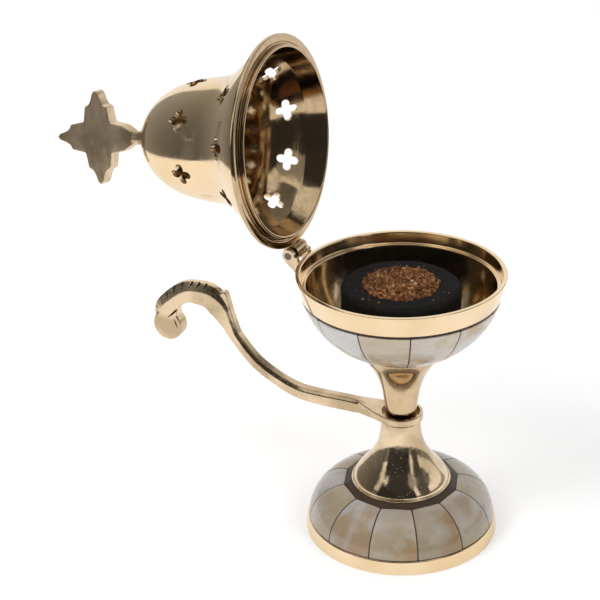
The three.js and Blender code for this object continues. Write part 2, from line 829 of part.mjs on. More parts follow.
function finialCross() {
  const otherSide = (stations) => stations.toReversed().map(([along, across]) => [along, -across]);
  const arm = [...armStations, ...otherSide(armStations.slice(0, -1))];
  const shoulder = armStations.slice(0, 3);
  const neckHalf = [...shoulder, [crossCentreHeight - neckTopHeight, neckRadius]];
  const neckArm = [...neckHalf, ...otherSide(neckHalf)];
  // Arms point up, to both sides and down to the neck; each is listed anticlockwise round the centre
  const outline = [[1, 0], [0, 1], [-1, 0], [0, -1]].flatMap(([dx, dz]) => {
    const points = dz < 0 ? neckArm : arm;
    return points.map(([along, across]) => [
      along * dx + across * dz,
      along * dz - across * dx,
    ]);
  });
  const cross = slab(outline, crossThickness);
  cross.translate(0, 0, flangeBase + crossCentreHeight);

  const seat = bellOutline().at(-1)[1] + fit;
  const studEnd = seat - bellWall - studLength;
  const neck = turned([
    [0, studEnd],
    [studRadius, studEnd],
    [studRadius, seat],
    [neckFootRadius, seat],
    [neckFootRadius, seat + neckFootHeight],
    [neckRadius, (seat + neckTopHeight) / 2],
    [neckRadius, neckTopHeight + neckRadius],
    [0, neckTopHeight + neckRadius],
  ].map(([radius, height]) => [radius, flangeBase + height]), smallSides);

  const finial = joined(cross, neck);
  finial.rotateZ(radians(crossTurn));
  return finial;
}

// Bolt, washer and nuts

function nut(acrossCorners, holeRadius, bottom, height) {
  const blank = column(acrossCorners, bottom, bottom + height, 6);
  return cut(blank, column(holeRadius, bottom - fit, bottom + height + fit));
}

const washerBase = footRoof - fit - washerThickness;
const nutBase = washerBase - fit - nutHeight;

function tieBolt() {
  const headBase = bowlFloorHeight + fit;
  return joined(
    column(boltRadius, nutBase - boltTail, headBase + boltHeadHeight / 2),
    column(boltHeadRadius, headBase, headBase + boltHeadHeight, 6),
  );
}

function baseWasher() {
  return turned([
    [boreRadius, washerBase],
    [washerRadius, washerBase],
    [washerRadius, washerBase + washerThickness],
    [boreRadius, washerBase + washerThickness],
  ], smallSides);
}

function finialNut() {
  const top = flangeBase + bellOutline().at(-1)[1] - bellWall - fit;
  return nut(finialNutRadius, studRadius + pinClearance, top - finialNutHeight, finialNutHeight);
}

// Charcoal and incense

const restAngle = ovalAngleAtRadius(bowlOval, bowlInsideDepth, charcoalRadius);
const charcoalBase = bowlOval(bowlInsideDepth, restAngle)[1] + fit;

// Height of the dish in the tablet's top at a distance from its centre
function dishHeight(radius) {
  const share = Math.min(1, radius / dishRadius);
  return charcoalBase + charcoalHeight - dishDepth * (1 - share ** 2);
}

function charcoalTablet() {
  const top = charcoalBase + charcoalHeight;
  return turned([
    [0, charcoalBase],
    [charcoalRadius - charcoalChamfer, charcoalBase],
    [charcoalRadius, charcoalBase + charcoalChamfer],
    [charcoalRadius, top - charcoalChamfer],
    [charcoalRadius - charcoalChamfer, top],
    ...samples(dishRadius, 0, arcSteps, (radius) => [radius, dishHeight(radius)]),
  ], roundSides);
}

// A shallow heap with a ragged edge and a lumpy top
function incenseHeap() {
  const ripple = (a, b) => Math.sin(12.9 * a + 4.1 * b) * Math.cos(7.3 * b - 3.7 * a);
  const positions = [];
  for (const face of [0, 1]) {
    for (let j = 1; j <= heapRows; j += 1) {
      for (let i = 0; i < heapColumns; i += 1) {
        const angle = (2 * Math.PI * i) / heapColumns;
        const share = j / heapRows;
        const radius = share * incenseRadius * (1 + incenseRaggedness * ripple(i, 1));
        const floor = dishHeight(radius) + fit;
        const dome = (incenseRise + dishDepth) * (1 - share ** 2);
        const rise = dome + incenseEdgeHeight + incenseGrain * ripple(i, j);
        positions.push(radius * Math.cos(angle), radius * Math.sin(angle), floor + (face ? 0 : rise));
      }
    }
  }
  const top = positions.length / 3;
  positions.push(0, 0, dishHeight(0) + fit + incenseRise + dishDepth);
  positions.push(0, 0, dishHeight(0) + fit);

  const corner = (face, j, i) => (face * heapRows + j) * heapColumns + (i % heapColumns);
  const triangles = [];
  const quad = (a, b, c, d) => triangles.push(a, b, c, a, c, d);
  const rim = heapRows - 1;
  for (let i = 0; i < heapColumns; i += 1) {
    triangles.push(top, corner(0, 0, i), corner(0, 0, i + 1));
    triangles.push(top + 1, corner(1, 0, i + 1), corner(1, 0, i));
    for (let j = 0; j < rim; j += 1) {
      quad(corner(0, j, i), corner(0, j + 1, i), corner(0, j + 1, i + 1), corner(0, j, i + 1));
      quad(corner(1, j, i), corner(1, j, i + 1), corner(1, j + 1, i + 1), corner(1, j + 1, i));
    }
    quad(corner(0, rim, i), corner(1, rim, i), corner(1, rim, i + 1), corner(0, rim, i + 1));
  }
  return facingOut(positions, triangles);
}

// Materials

const brass = { color: 0xc9b48c, roughness: 0.2, metalness: 1 };
const castBrass = { color: 0xbfa77c, roughness: 0.35, metalness: 1 };
const pearl = { color: 0xcfc5b0, roughness: 0.3, metalness: 0 };
const mastic = { color: 0x4a4038, roughness: 0.7, metalness: 0 };
const steel = { color: 0x55514c, roughness: 0.4, metalness: 1 };
const charcoal = { color: 0x1b1a1a, roughness: 0.95, metalness: 0 };
const incense = { color: 0x9a6a48, roughness: 0.95, metalness: 0 };

function piece(parent, name, geometry, finish) {
  const mesh = new THREE.Mesh(geometry, new THREE.MeshStandardMaterial(finish));
  mesh.name = name;
  parent.add(mesh);
}

// Assembly

const group = new THREE.Group();
const lid = new THREE.Group();
const lidParts = new THREE.Group();

piece(group, 'base_shell', baseShell(), brass);
piece(group, 'base_mastic', baseMastic(), mastic);
piece(group, 'lower_stem', lowerStem(), castBrass);
piece(group, 'handle', handle(), castBrass);
piece(group, 'upper_stem', upperStem(), brass);
piece(group, 'bowl', bowl(), brass);
piece(group, 'bowl_mastic', bowlMastic(), mastic);
for (let i = 0; i < tileCount; i += 1) {
  const number = String(i + 1).padStart(2, '0');
  piece(group, `base_tile_${number}`, tile(i, footTiles), pearl);
  piece(group, `bowl_tile_${number}`, tile(i, bowlTiles), pearl);
}
piece(group, 'bowl_hinge_bracket', hingeBracket(), castBrass);
piece(group, 'hinge_pin', hingePin(), steel);
piece(group, 'tie_bolt', tieBolt(), steel);
piece(group, 'base_washer', baseWasher(), steel);
piece(group, 'base_nut', nut(nutRadius, boltRadius + pinClearance, nutBase, nutHeight), steel);
piece(group, 'charcoal_tablet', charcoalTablet(), charcoal);
piece(group, 'incense_heap', incenseHeap(), incense);

piece(lidParts, 'lid_bell', lidBell(), brass);
piece(lidParts, 'lid_hinge_lug', hingeLug(), castBrass);
piece(lidParts, 'finial_cross', finialCross(), castBrass);
piece(lidParts, 'finial_nut', finialNut(), steel);

lid.position.set(hingeX, 0, hingeZ);
lid.rotation.y = -radians(lidOpening);
lidParts.position.set(-hingeX, 0, -hingeZ);
lid.add(lidParts);
group.add(lid);

const extent = new THREE.Box3().setFromObject(group, true);
group.position.x = -(extent.min.x + extent.max.x) / 2;

export default group;
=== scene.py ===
# Looks of the hand censer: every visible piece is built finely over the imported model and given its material.
# Sizes are in millimetres round the stem's axis, with the foot's underside at height 0 and the handle at -X.
# The lid's pieces are drawn closed and turned open about the hinge. The mesh data is in metres.

import random
from math import acos, asin, atan2, cos, degrees, dist, exp, hypot, pi, radians, sin, sqrt, tan

import bmesh
import bpy
import numpy as np
from mathutils import Matrix, Vector, noise
from mathutils.bvhtree import BVHTree


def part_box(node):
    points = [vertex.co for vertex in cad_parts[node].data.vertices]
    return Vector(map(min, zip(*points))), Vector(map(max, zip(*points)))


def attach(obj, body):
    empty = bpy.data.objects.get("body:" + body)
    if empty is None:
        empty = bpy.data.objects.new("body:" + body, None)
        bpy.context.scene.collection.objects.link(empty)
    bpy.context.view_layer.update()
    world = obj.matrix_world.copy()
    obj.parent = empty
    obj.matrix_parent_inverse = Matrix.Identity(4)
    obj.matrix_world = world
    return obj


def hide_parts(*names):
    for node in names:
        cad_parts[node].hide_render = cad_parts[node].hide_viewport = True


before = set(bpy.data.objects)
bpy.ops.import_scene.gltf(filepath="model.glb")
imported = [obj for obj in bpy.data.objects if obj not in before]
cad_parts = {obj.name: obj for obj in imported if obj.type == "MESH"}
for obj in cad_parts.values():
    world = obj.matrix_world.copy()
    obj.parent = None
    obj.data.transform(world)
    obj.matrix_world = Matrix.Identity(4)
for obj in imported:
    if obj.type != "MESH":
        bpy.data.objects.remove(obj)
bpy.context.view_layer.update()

MM = 0.001
random.seed(11)

# Foot
FOOT_RADIUS = 33.4
FOOT_RING_HEIGHT = 4.8
FOOT_RING_TAPER = 0.8
FOOT_WALL = 1.5
FOOT_EDGE = 0.35
FOOT_CREST_RADIUS = 19.0
FOOT_DOME_BASE = 4.0
FOOT_DOME_RISE = 13.35
FOOT_SEAM_START = 2.0
FOOT_BED_THICKNESS = 0.6
FOOT_TILE_THICKNESS = 1.1
FOOT_TILE_SETBACK = 0.25
FOOT_TILE_CLEARANCE = 2.1
FOOT_TILE_EDGE = 0.18

# Mastic collar round the cone's foot. Each point of its profile has a share of its width and a height over
# the tiles' crest, in millimetres below it and as a share of the rise above it.
COLLAR_RISE = 1.15
COLLAR_GAP = 0.15
COLLAR_SETBACK = 0.1
COLLAR_LUMPS = 0.14
COLLAR_SIDES = 240
COLLAR_PROFILE = [
    (0, -2.0), (1, -2.0), (1, -0.1), (0.96, 0.0), (0.6, 0.35), (0.25, 0.8), (0.05, 1.0), (0, 0.95),
]

# Inlay
TILE_COUNT = 12
SEAM_WIDTH = 0.4
SEAM_DEPTH = 0.12
RIDGE_SHARE = 0.94
BED_GAP = 0.2

# How warm or cool each tile's pearl is, from 0, ochre, to 1, bluish
FOOT_TILE_HUES = [0.45, 0.25, 0.5, 0.3, 0.2, 0.4, 0.35, 0.12, 0.5, 0.42, 0.02, 0.25]
BOWL_TILE_HUES = [0.5, 0.2, 0.8, 0.4, 0.6, 0.3, 0.7, 0.9, 0.05, 0.5, 0.5, 0.35]
# Darkest and lightest tile of each ring
FOOT_TILE_TONES = (0.56, 0.66)
BOWL_TILE_TONES = (0.88, 1.0)

# Stem; a flare has a reach and a power
BORE_RADIUS = 2.8
CONE_SEAT = 16.0
CONE_BASE = 16.3
CONE_HEIGHT = 25.6
CONE_FOOT_RADIUS = 17.3
CONE_TOP_RADIUS = 6.6
CONE_COLLAR_HEIGHT = 2.7
CONE_COLLAR_ROUNDING = 0.6
CONE_FLARE = (9.2, 1.65)
TRUMPET_BASE = 43.3
TRUMPET_HEIGHT = 22.7
TRUMPET_FOOT_RADIUS = 5.0
TRUMPET_TOP_RADIUS = 12.1
TRUMPET_LIP_HEIGHT = 0.5
TRUMPET_COLLAR_RISE = 2.7
TRUMPET_COLLAR_SPREAD = 1.4
TRUMPET_COLLAR_MOUTH = 0.8
TRUMPET_FLARE = (8.2, 1.12)
TRUMPET_EDGE = 0.3
# Share by which the whole trumpet is browned evenly
TRUMPET_BROWNING = 0.6

# Bowl
RIM_HEIGHT = 96.844
RIM_RADIUS = 35.0
RIM_LIP_WIDTH = 1.6
RIM_BAND_HEIGHT = 7.44
RIM_BAND_TAPER = 2.0
RIM_PROUD = 0.9
LEDGE_DEPTH = 3.94
LEDGE_TAPER = 0.5
BOWL_FLOOR_RADIUS = 4.8
BOWL_DEPTH = 29.3
BOWL_SKIN = 2.3
BOWL_EDGE = 0.4
BOWL_SEAM_START = 27.0
BOWL_BED_THICKNESS = 0.4
BOWL_TILE_THICKNESS = 0.9
BOWL_TILE_CLEARANCE = 1.7
BOWL_TILE_EDGE = 0.15
BOWL_SMOKE = 0.35
MASTIC_LINE_WIDTH = 0.8
MASTIC_LINE_RECESS = 0.5
MASTIC_LINE_EDGE = (0.3, 0.25)
MASTIC_LINE_GAP = 0.05
BOSS_RADIUS = 11.5
BOSS_BASE = 66.3
BOSS_GAP = 0.2
BOSS_BED_GAP = 0.3

# Handle
EYE_UNDERSIDE = 42.2
EYE_RADIUS = 7.6
EYE_WALL = 1.0
EYE_THICKNESS = 2.6
EYE_FLOOR = 0.8
ROOT_LENGTH = 17.0
BAR_WIDTH = 4.8
BULB_RADIUS = 5.6
EDGE_BREAK = 0.5
OUTER_EDGE_BREAK = 1.1
SCROLL_BEVEL_DEPTH = 3.2
SCROLL_BEVEL_INSET = 1.2
HANDLE_SMOOTHING = 10
HANDLE_DULLNESS = 0.13
# Depth of a cut at which its painted shade is full
CUT_SHADE_DEPTH = 0.22

# Centreline of the bar and scroll: x, height above the eye's underside, half thickness, bevel share
BAR_STATIONS = [
    (-10, 1.4, 1.6, 0), (-17, 1.8, 2.5, 0), (-30, 1.9, 2.5, 0), (-39, 2.9, 2.3, 0),
    (-47.6, 6.6, 2.1, 0), (-55.1, 11.6, 2, 0), (-61.9, 19.4, 2, 0), (-64.8, 24.3, 2.55, 0),
    (-67.9, 29.6, 4.1, 0.3), (-71.2, 33.2, 4.5, 1), (-76, 34.1, 4.25, 1), (-81.1, 33.6, 3.8, 1),
    (-86.7, 29.7, 3.7, 1), (-89.3, 25, 4.7, 0.8), (-88.7, 19.7, 4.5, 0.2),
]

# Centreline of the tongue on the bar's outer face: x, height above the eye's underside, half thickness
TONGUE_STATIONS = [
    (-59.6, 16.5, 0.8), (-61.9, 21, 1.2), (-63.6, 25.5, 1.3),
    (-65, 30.5, 1.3), (-66, 35.2, 1.1), (-66.2, 36.2, 0.6),
]
TONGUE_SIDE_PROUD = 0.2

# Notches of the scroll: stations between which they lie, and stops of place and size along each
NOTCH_COUNT = 9
NOTCH_WIDTH = 1.15
NOTCH_DEPTH = 0.7
NOTCH_SIZES = (0.75, 1.15)
NOTCH_SLANT = 30.0
FIRST_NOTCH_STATION = 9.1
LAST_NOTCH_STATION = 13.0
NOTCH_STOPS = [(-0.3, 0.15), (0.25, 0.8), (0.62, 1.1)]

# Cuts on both faces of the bulb, as stops of x, height above the eye's underside, and depth share
CREASE_WIDTH = 0.8
CREASE_DEPTH = 0.8
BULB_CREASES = [
    [(-84.4, 26.6, 1.3), (-86.4, 24.6, 0.9), (-88.4, 22.8, 0.15)],
    [(-85.7, 22.6, 0.3), (-85.3, 21.2, 0.8), (-84.6, 19.3, 0.2)],
]

# Hinge and lid; each row of piercings has a height, a count and a first angle
HINGE_X = -38.45
HINGE_Z = RIM_HEIGHT + 1.56
LID_OPENING = 96.0
FLANGE_BASE = RIM_HEIGHT + 0.3
FLANGE_RADIUS = 35.3
FLANGE_THICKNESS = 1.6
FLANGE_GROOVE_WIDTH = 0.9
FLANGE_GROOVE_DEPTH = 0.5
FLANGE_EDGE = 0.3
# Painted shade on the flange's outer rim
FLANGE_SHADE = 0.85
SPIGOT_RADIUS = 31.8
SPIGOT_WALL = 0.95
SPIGOT_DEPTH = 1.6
MOUTH_CONE_HEIGHT = 5.0
BELL_RADIUS = 21.0
BELL_SHOULDER = 20.0
BELL_HEIGHT = 52.0
BELL_DOME_POWER = 2.3
BELL_FLARE_WIDTH = 10.6
BELL_FLARE = (11.0, 2)
BELL_WALL = 1.5
BELL_EDGE = 0.5
# Depth, as a share of the wall, below which the bell's inside is browned: soot and painted shade
INNER_SMOKE_AND_SHADE_DEPTH = 0.7
CROWN_SEAT_RADIUS = 4.0
STUD_BORE_RADIUS = 1.8
PIERCING_LOBE_RADIUS = 1.4
PIERCING_LOBE_OFFSET = 2.45
PIERCING_ROWS = [(11.3, 9, 3.5), (29.0, 7, 357.9)]
SLOPE_STEP = 0.3

# Finial; each station of an arm has its distance from the middle and its half width
CROSS_CENTRE = 70.6
CROSS_THICKNESS = 5.1
CROSS_EDGE = 0.45
CROSS_TURN = 10.0
CROSS_DULLNESS = 0.24
ARM_STATIONS = [(5.6, 5.3), (8, 4.8), (10.5, 4.3), (11.4, 2.9), (13.2, 1.8), (15.2, 1.1), (16.3, 0)]
NECK_RADIUS = 2.4
NECK_TOP = 57.2
NECK_FOOT_RADIUS = 3.3
NECK_FOOT_HEIGHT = 1
NECK_EDGE = 0.4
STUD_LENGTH = 2
STUD_GAP = 0.3

# Charcoal and incense. Sizes of grains and crumbs are half widths, before a random stretch along each axis.
# A tone goes from 0, dark, to 1, pale; the grains' tone is given as a mean and a spread.
CHARCOAL_RADIUS = 20.0
CHARCOAL_TOP = 92.61
CHARCOAL_BASE = 75.31
CHARCOAL_CHAMFER = 1.2
CHARCOAL_EDGE = 2.0
CHARCOAL_RELIEF = 0.18
CHARCOAL_SHRINK = 0.006
CHARCOAL_NOISE_SCALE = 0.35
DISH_RADIUS = 13.4
DISH_DEPTH = 2.4
DISH_LIP = 0.5
DISH_BORDER = 4
INCENSE_RADIUS = 12.6
INCENSE_RISE = 1.6
INCENSE_RINGS = 26
INCENSE_SIDES = 96
GRAIN_COUNT = 1150
GRAIN_SIZES = (0.3, 0.9)
GRAIN_STRETCH = (0.4, 1.4)
GRAIN_UNEVENNESS = (0.8, 1.1)
GRAIN_LIFT = (-0.2, 0.15)
GRAIN_TONE = (0.42, 0.24)
DARKER_TONES_END = 0.8
PALE_SHARE = 0.02
PALE_TONES = (0.85, 1.0)
CRUMB_COUNT = 26
CRUMB_SIZES = (0.15, 0.36)
CRUMB_MARGIN = 2.5
CRUMB_LIFT = 0.25
CRUMB_TONES = (0.2, 1.0)
HEAP_LIFT = 0.3
HEAP_SINK = 0.25
HEAP_TONE = 0.3
SKIRT_LIFT = 0.1
SKIRT_TONE = 0.2

# Lumps of the heap: height, scale and level of each noise
HEAP_LUMPS = [(0.55, 0.28, 0), (0.25, 0.8, 9)]

# Fittings
FITTING_TARNISH = 0.25
LUG_TARNISH = 0.75
FITTING_DULLNESS = 0.1

# Fineness
SIDES = 160
BELL_SIDES = 192
PIERCING_SIDES = 96
HANDLE_VOXEL = 0.22

# Camera
CAMERA_PLACE = (184.28, -462.80, 326.43)
CAMERA_TARGET = (0, 0, RIM_HEIGHT)
TARGET_IN_VIEW = (0.06065, 0.01677, -1)
LENS = 100
SENSOR = 36

stem_low, stem_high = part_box("lower_stem")
AXIS_X = (stem_low.x + stem_high.x) / 2
on_axis = Matrix.Translation((AXIS_X, 0, 0))
hinge = Vector((HINGE_X, 0, HINGE_Z)) * MM
opening = Matrix.Rotation(radians(-LID_OPENING), 4, "Y")
lid_open = on_axis @ Matrix.Translation(hinge) @ opening @ Matrix.Translation(-hinge)


# Materials

class Graph:
    """Shader nodes of a material or of the world"""

    def __init__(self, owner):
        owner.use_nodes = True
        self.nodes = owner.node_tree.nodes
        self.links = owner.node_tree.links
        self.nodes.clear()

    def add(self, kind, **settings):
        node = self.nodes.new(kind)
        for key, value in settings.items():
            setattr(node, key, value)
        return node

    def put(self, value, socket):
        """Gives a socket a number, a colour of three numbers, or a link from another socket"""
        if isinstance(value, tuple):
            socket.default_value = (*value, 1)
        elif isinstance(value, (int, float)):
            socket.default_value = value
        else:
            self.links.new(value, socket)

    def spread(self, value, low, high, to_low=0.0, to_high=1.0):
        """Maps a range of values onto another, clamped"""
        node = self.add("ShaderNodeMapRange")
        keys = ("Value", "From Min", "From Max", "To Min", "To Max")
        for key, number in zip(keys, (value, low, high, to_low, to_high)):
            self.put(number, node.inputs[key])
        return node.outputs["Result"]

    def math(self, operation, first, second):
        node = self.add("ShaderNodeMath", operation=operation)
        self.put(first, node.inputs[0])
        self.put(second, node.inputs[1])
        return node.outputs[0]

    def attribute(self, name, kind="OBJECT"):
        return self.add("ShaderNodeAttribute", attribute_name=name, attribute_type=kind).outputs["Fac"]

    def by_ray(self, diffuse, seen):
        """One number for diffuse light, and another for the camera, reflections and refractions"""
        rays = self.add("ShaderNodeLightPath").outputs
        direct = self.math("MAXIMUM", rays["Is Camera Ray"], rays["Is Glossy Ray"])
        return self.spread(self.math("MAXIMUM", direct, rays["Is Transmission Ray"]), 0, 1, diffuse, seen)


class Finish(Graph):
    """A material with a Principled shader, and coordinates in millimetres"""

    def __init__(self, name):
        self.name = name
        self.material = bpy.data.materials.new(name)
        super().__init__(self.material)
        self.shader = self.add("ShaderNodeBsdfPrincipled")
        self.put(self.shader.outputs["BSDF"], self.add("ShaderNodeOutputMaterial").inputs["Surface"])
        self.place = self.scaled(self.add("ShaderNodeTexCoord").outputs["Object"], (1 / MM,) * 3)

    def scaled(self, vector, scale):
        """Coordinates stretched by a scale along each axis"""
        mapping = self.add("ShaderNodeMapping")
        mapping.inputs["Scale"].default_value = scale
        self.put(vector, mapping.inputs["Vector"])
        return mapping.outputs["Vector"]

    def noise(self, scale, detail=3, roughness=0.5, stretch=None, distortion=0, place=None):
        """Noise whose features are about 1 / scale millimetres wide"""
        node = self.add("ShaderNodeTexNoise")
        vector = place or self.place
        self.put(self.scaled(vector, stretch) if stretch else vector, node.inputs["Vector"])
        keys = ("Scale", "Detail", "Roughness", "Distortion")
        for key, number in zip(keys, (scale, detail, roughness, distortion)):
            self.put(number, node.inputs[key])
        return node.outputs["Fac"]

    def ramp(self, value, *stops):
        """Colour ramp through (position, colour) stops"""
        node = self.add("ShaderNodeValToRGB")
        elements = node.color_ramp.elements
        elements[0].position, elements[0].color = stops[0][0], (*stops[0][1], 1)
        elements[1].position, elements[1].color = stops[-1][0], (*stops[-1][1], 1)
        for position, colour in stops[1:-1]:
            elements.new(position).color = (*colour, 1)
        self.put(value, node.inputs["Fac"])
        return node.outputs["Color"]

    def mix(self, share, first, second, blend="MIX"):
        """Mixes two colours, each a socket or a tuple, by a socket or a number"""
        node = self.add("ShaderNodeMix", data_type="RGBA", blend_type=blend)
        inputs = {socket.identifier: socket for socket in node.inputs}
        for key, value in (("Factor_Float", share), ("A_Color", first), ("B_Color", second)):
            self.put(value, inputs[key])
        return next(socket for socket in node.outputs if socket.identifier == "Result_Color")

    def bump(self, height, distance):
        """Relief from a height, with its depth in millimetres, over the relief so far"""
        node = self.add("ShaderNodeBump")
        self.put(1.0, node.inputs["Strength"])
        self.put(distance * MM, node.inputs["Distance"])
        self.put(height, node.inputs["Height"])
        earlier = self.shader.inputs["Normal"]
        if earlier.is_linked:
            self.put(earlier.links[0].from_socket, node.inputs["Normal"])
        self.put(node.outputs["Normal"], earlier)

    def set(self, **values):
        """Sets or links the shader's sockets; underscores stand for spaces"""
        for key, value in values.items():
            self.put(value, self.shader.inputs[key.replace("_", " ")])


BRASS_LIGHT = (0.88, 0.69, 0.46)
BRASS_DEEP = (0.80, 0.60, 0.36)
CAST_LIGHT = (0.77, 0.60, 0.40)
CAST_DEEP = (0.52, 0.39, 0.24)
# Brown of soot and tarnish, also painted shade inside the lid and on its flange
SOOT_TARNISH_AND_SHADE_BROWN = (0.46, 0.33, 0.19)
# Near-black painted shade for the handle's cuts
CUT_SHADE_COLOUR = (0.035, 0.025, 0.015)


def polished_brass():
    """Brass polished on a lathe: fine rings, a slow change of tone, and brown where it is marked: soot, and
    painted shade inside the lid and on its flange
    """
    finish = Finish("polished_brass")
    tone = finish.noise(0.05, detail=2)
    smudge = finish.noise(0.35, detail=5, roughness=0.6)
    colour = finish.mix(finish.spread(tone, 0.35, 0.65), BRASS_LIGHT, BRASS_DEEP)
    # Soot, and painted shade inside the lid and on its flange
    smoke_and_shade = finish.attribute("smoke_and_shade", "GEOMETRY")
    smoke_and_shade = finish.math("MULTIPLY", smoke_and_shade, finish.spread(smudge, 0.3, 0.6, 0.75, 1))
    finish.set(
        Metallic=1.0,
        Base_Color=finish.mix(smoke_and_shade, colour, SOOT_TARNISH_AND_SHADE_BROWN),
        Roughness=finish.spread(smudge, 0.35, 0.75, 0.07, 0.2),
    )
    finish.bump(finish.noise(2.2, detail=3, stretch=(0.02, 0.02, 1.6)), 0.012)
    finish.bump(finish.noise(1.2, detail=4, stretch=(1, 1, 0.08)), 0.004)
    finish.bump(finish.noise(0.12, detail=2), 0.05)
    return finish


def cast_brass():
    """Brass cast in sand, filed and buffed: a slightly wavy skin, small pits, and painted shade where it is
    marked
    """
    finish = Finish("cast_brass")
    tone = finish.noise(0.08, detail=2)
    smudge = finish.noise(0.5, detail=5, roughness=0.6)
    grain = finish.noise(2.6, detail=4, roughness=0.6)
    pits = finish.noise(1.7, detail=2, roughness=0.5)
    # Painted shade in the handle's cuts, broken up by the grain
    cut_shade = finish.attribute("cut_shade", "GEOMETRY")
    cut_shade = finish.math("MULTIPLY", cut_shade, finish.spread(grain, 0.2, 0.5, 0.6, 1))
    colour = finish.mix(finish.spread(tone, 0.4, 0.6), CAST_LIGHT, CAST_DEEP)
    colour = finish.mix(finish.attribute("tarnish"), colour, SOOT_TARNISH_AND_SHADE_BROWN)
    roughness = finish.spread(smudge, 0.3, 0.75, 0.05, 0.18)
    finish.set(
        Metallic=1.0,
        Base_Color=finish.mix(cut_shade, colour, CUT_SHADE_COLOUR),
        Roughness=finish.math("ADD", roughness, finish.attribute("dullness")),
    )
    finish.bump(finish.noise(0.1, detail=2), 0.12)
    finish.bump(finish.noise(0.3, detail=2), 0.06)
    finish.bump(grain, 0.008)
    finish.bump(finish.spread(pits, 0.24, 0.31), 0.06)
    return finish


def pearl():
    """Mother-of-pearl: ochre to bluish grey clouds, pale bands and amber stains under a clear polish"""
    finish = Finish("pearl")
    shift = finish.add("ShaderNodeVectorMath", operation="ADD")
    finish.put(finish.place, shift.inputs[0])
    finish.put(finish.attribute("tile_seed"), shift.inputs[1])
    place = shift.outputs[0]
    cloud = finish.noise(0.04, detail=2, distortion=0.4, place=place)
    bands = finish.noise(0.16, detail=3, distortion=0.7, stretch=(1, 1, 2.2), place=place)
    stain = finish.noise(0.06, detail=2, distortion=0.6, stretch=(1.3, 0.9, 1), place=place)
    colour = finish.ramp(
        finish.math("ADD", finish.attribute("tile_hue"), finish.spread(cloud, 0.3, 0.7, -0.45, 0.45)),
        (0.0, (0.52, 0.41, 0.26)), (0.35, (0.58, 0.50, 0.39)), (0.65, (0.60, 0.545, 0.485)),
        (1.0, (0.58, 0.565, 0.54)),
    )
    colour = finish.mix(finish.spread(bands, 0.45, 0.75, 0, 0.3), colour, (0.72, 0.69, 0.64))
    colour = finish.mix(finish.spread(stain, 0.54, 0.68, 0, 0.75), colour, (0.47, 0.29, 0.13))
    finish.set(
        Base_Color=finish.mix(1.0, colour, finish.attribute("tile_tone"), blend="MULTIPLY"),
        Roughness=finish.spread(bands, 0.3, 0.7, 0.2, 0.32),
        Coat_Weight=0.4,
        Coat_Roughness=0.06,
    )
    finish.bump(bands, 0.02)
    return finish


def speckled(name, scale, grit, dark, light, roughness, relief, metallic):
    """A dull, slightly grainy material"""
    finish = Finish(name)
    speckle = finish.noise(scale, detail=4, roughness=grit)
    finish.set(
        Metallic=metallic,
        Base_Color=finish.ramp(speckle, (0.3, dark), (0.7, light)),
        Roughness=finish.spread(speckle, 0.3, 0.7, *roughness),
    )
    finish.bump(speckle, relief)
    return finish


def mastic():
    """Dark brown filler round the tiles"""
    return speckled("mastic", 1.4, 0.7, (0.026, 0.014, 0.007), (0.066, 0.038, 0.021), (0.4, 0.65), 0.08, 0.0)


def steel():
    """Darkened steel of pin, bolt and nuts"""
    return speckled("steel", 0.9, 0.6, (0.12, 0.115, 0.11), (0.24, 0.23, 0.22), (0.3, 0.5), 0.03, 1.0)


def charcoal():
    """Pressed charcoal: matt black with a fine grain and slightly greyer rubbed patches"""
    finish = Finish("charcoal")
    grain = finish.noise(1.5, detail=6, roughness=0.7)
    worn = finish.noise(0.25, detail=4, roughness=0.6)
    colour = finish.ramp(grain, (0.3, (0.004, 0.0038, 0.0035)), (0.75, (0.016, 0.015, 0.014)))
    finish.set(
        Base_Color=finish.mix(finish.spread(worn, 0.5, 0.75, 0, 0.5), colour, (0.022, 0.021, 0.020)),
        Roughness=0.93,
        Specular_IOR_Level=0.25,
    )
    finish.bump(grain, 0.25)
    return finish


def incense():
    """Rust-brown grains, each with its own tone"""
    finish = Finish("incense")
    speckle = finish.noise(2.5, detail=3)
    colour = finish.ramp(
        finish.attribute("grain_tone", "GEOMETRY"),
        (0.0, (0.060, 0.020, 0.008)), (0.45, (0.20, 0.080, 0.028)), (0.8, (0.42, 0.20, 0.08)),
        (1.0, (0.62, 0.46, 0.30)),
    )
    finish.set(
        Base_Color=finish.mix(finish.spread(speckle, 0.3, 0.7, 0, 0.35), colour, (0.10, 0.04, 0.018)),
        Roughness=0.85,
        Specular_IOR_Level=0.3,
    )
    finish.bump(speckle, 0.08)
    return finish


FINISHES = (polished_brass(), cast_brass(), pearl(), mastic(), steel(), charcoal(), incense())
MATERIALS = {finish.name: finish.material for finish in FINISHES}


# Shape helpers: a shape is a list of corners in millimetres and a list of faces

def samples(start, end, steps, point_at=float):
    """Evenly spaced samples of a function of one number, both ends included"""
    return [point_at(start + (end - start) * i / steps) for i in range(steps + 1)]


def polar(radius, angle):
    return radius * cos(angle), radius * sin(angle)


def circle(x, y, radius, sides=64):
    points = [polar(radius, 2 * pi * i / sides) for i in range(sides)]
    return [(x + across, y + along) for across, along in points]


def flare(distance, reach, power):
    """Falls from 1 towards 0 over a distance, as the profile of a trumpet does"""
    return exp(-((distance / reach) ** power))


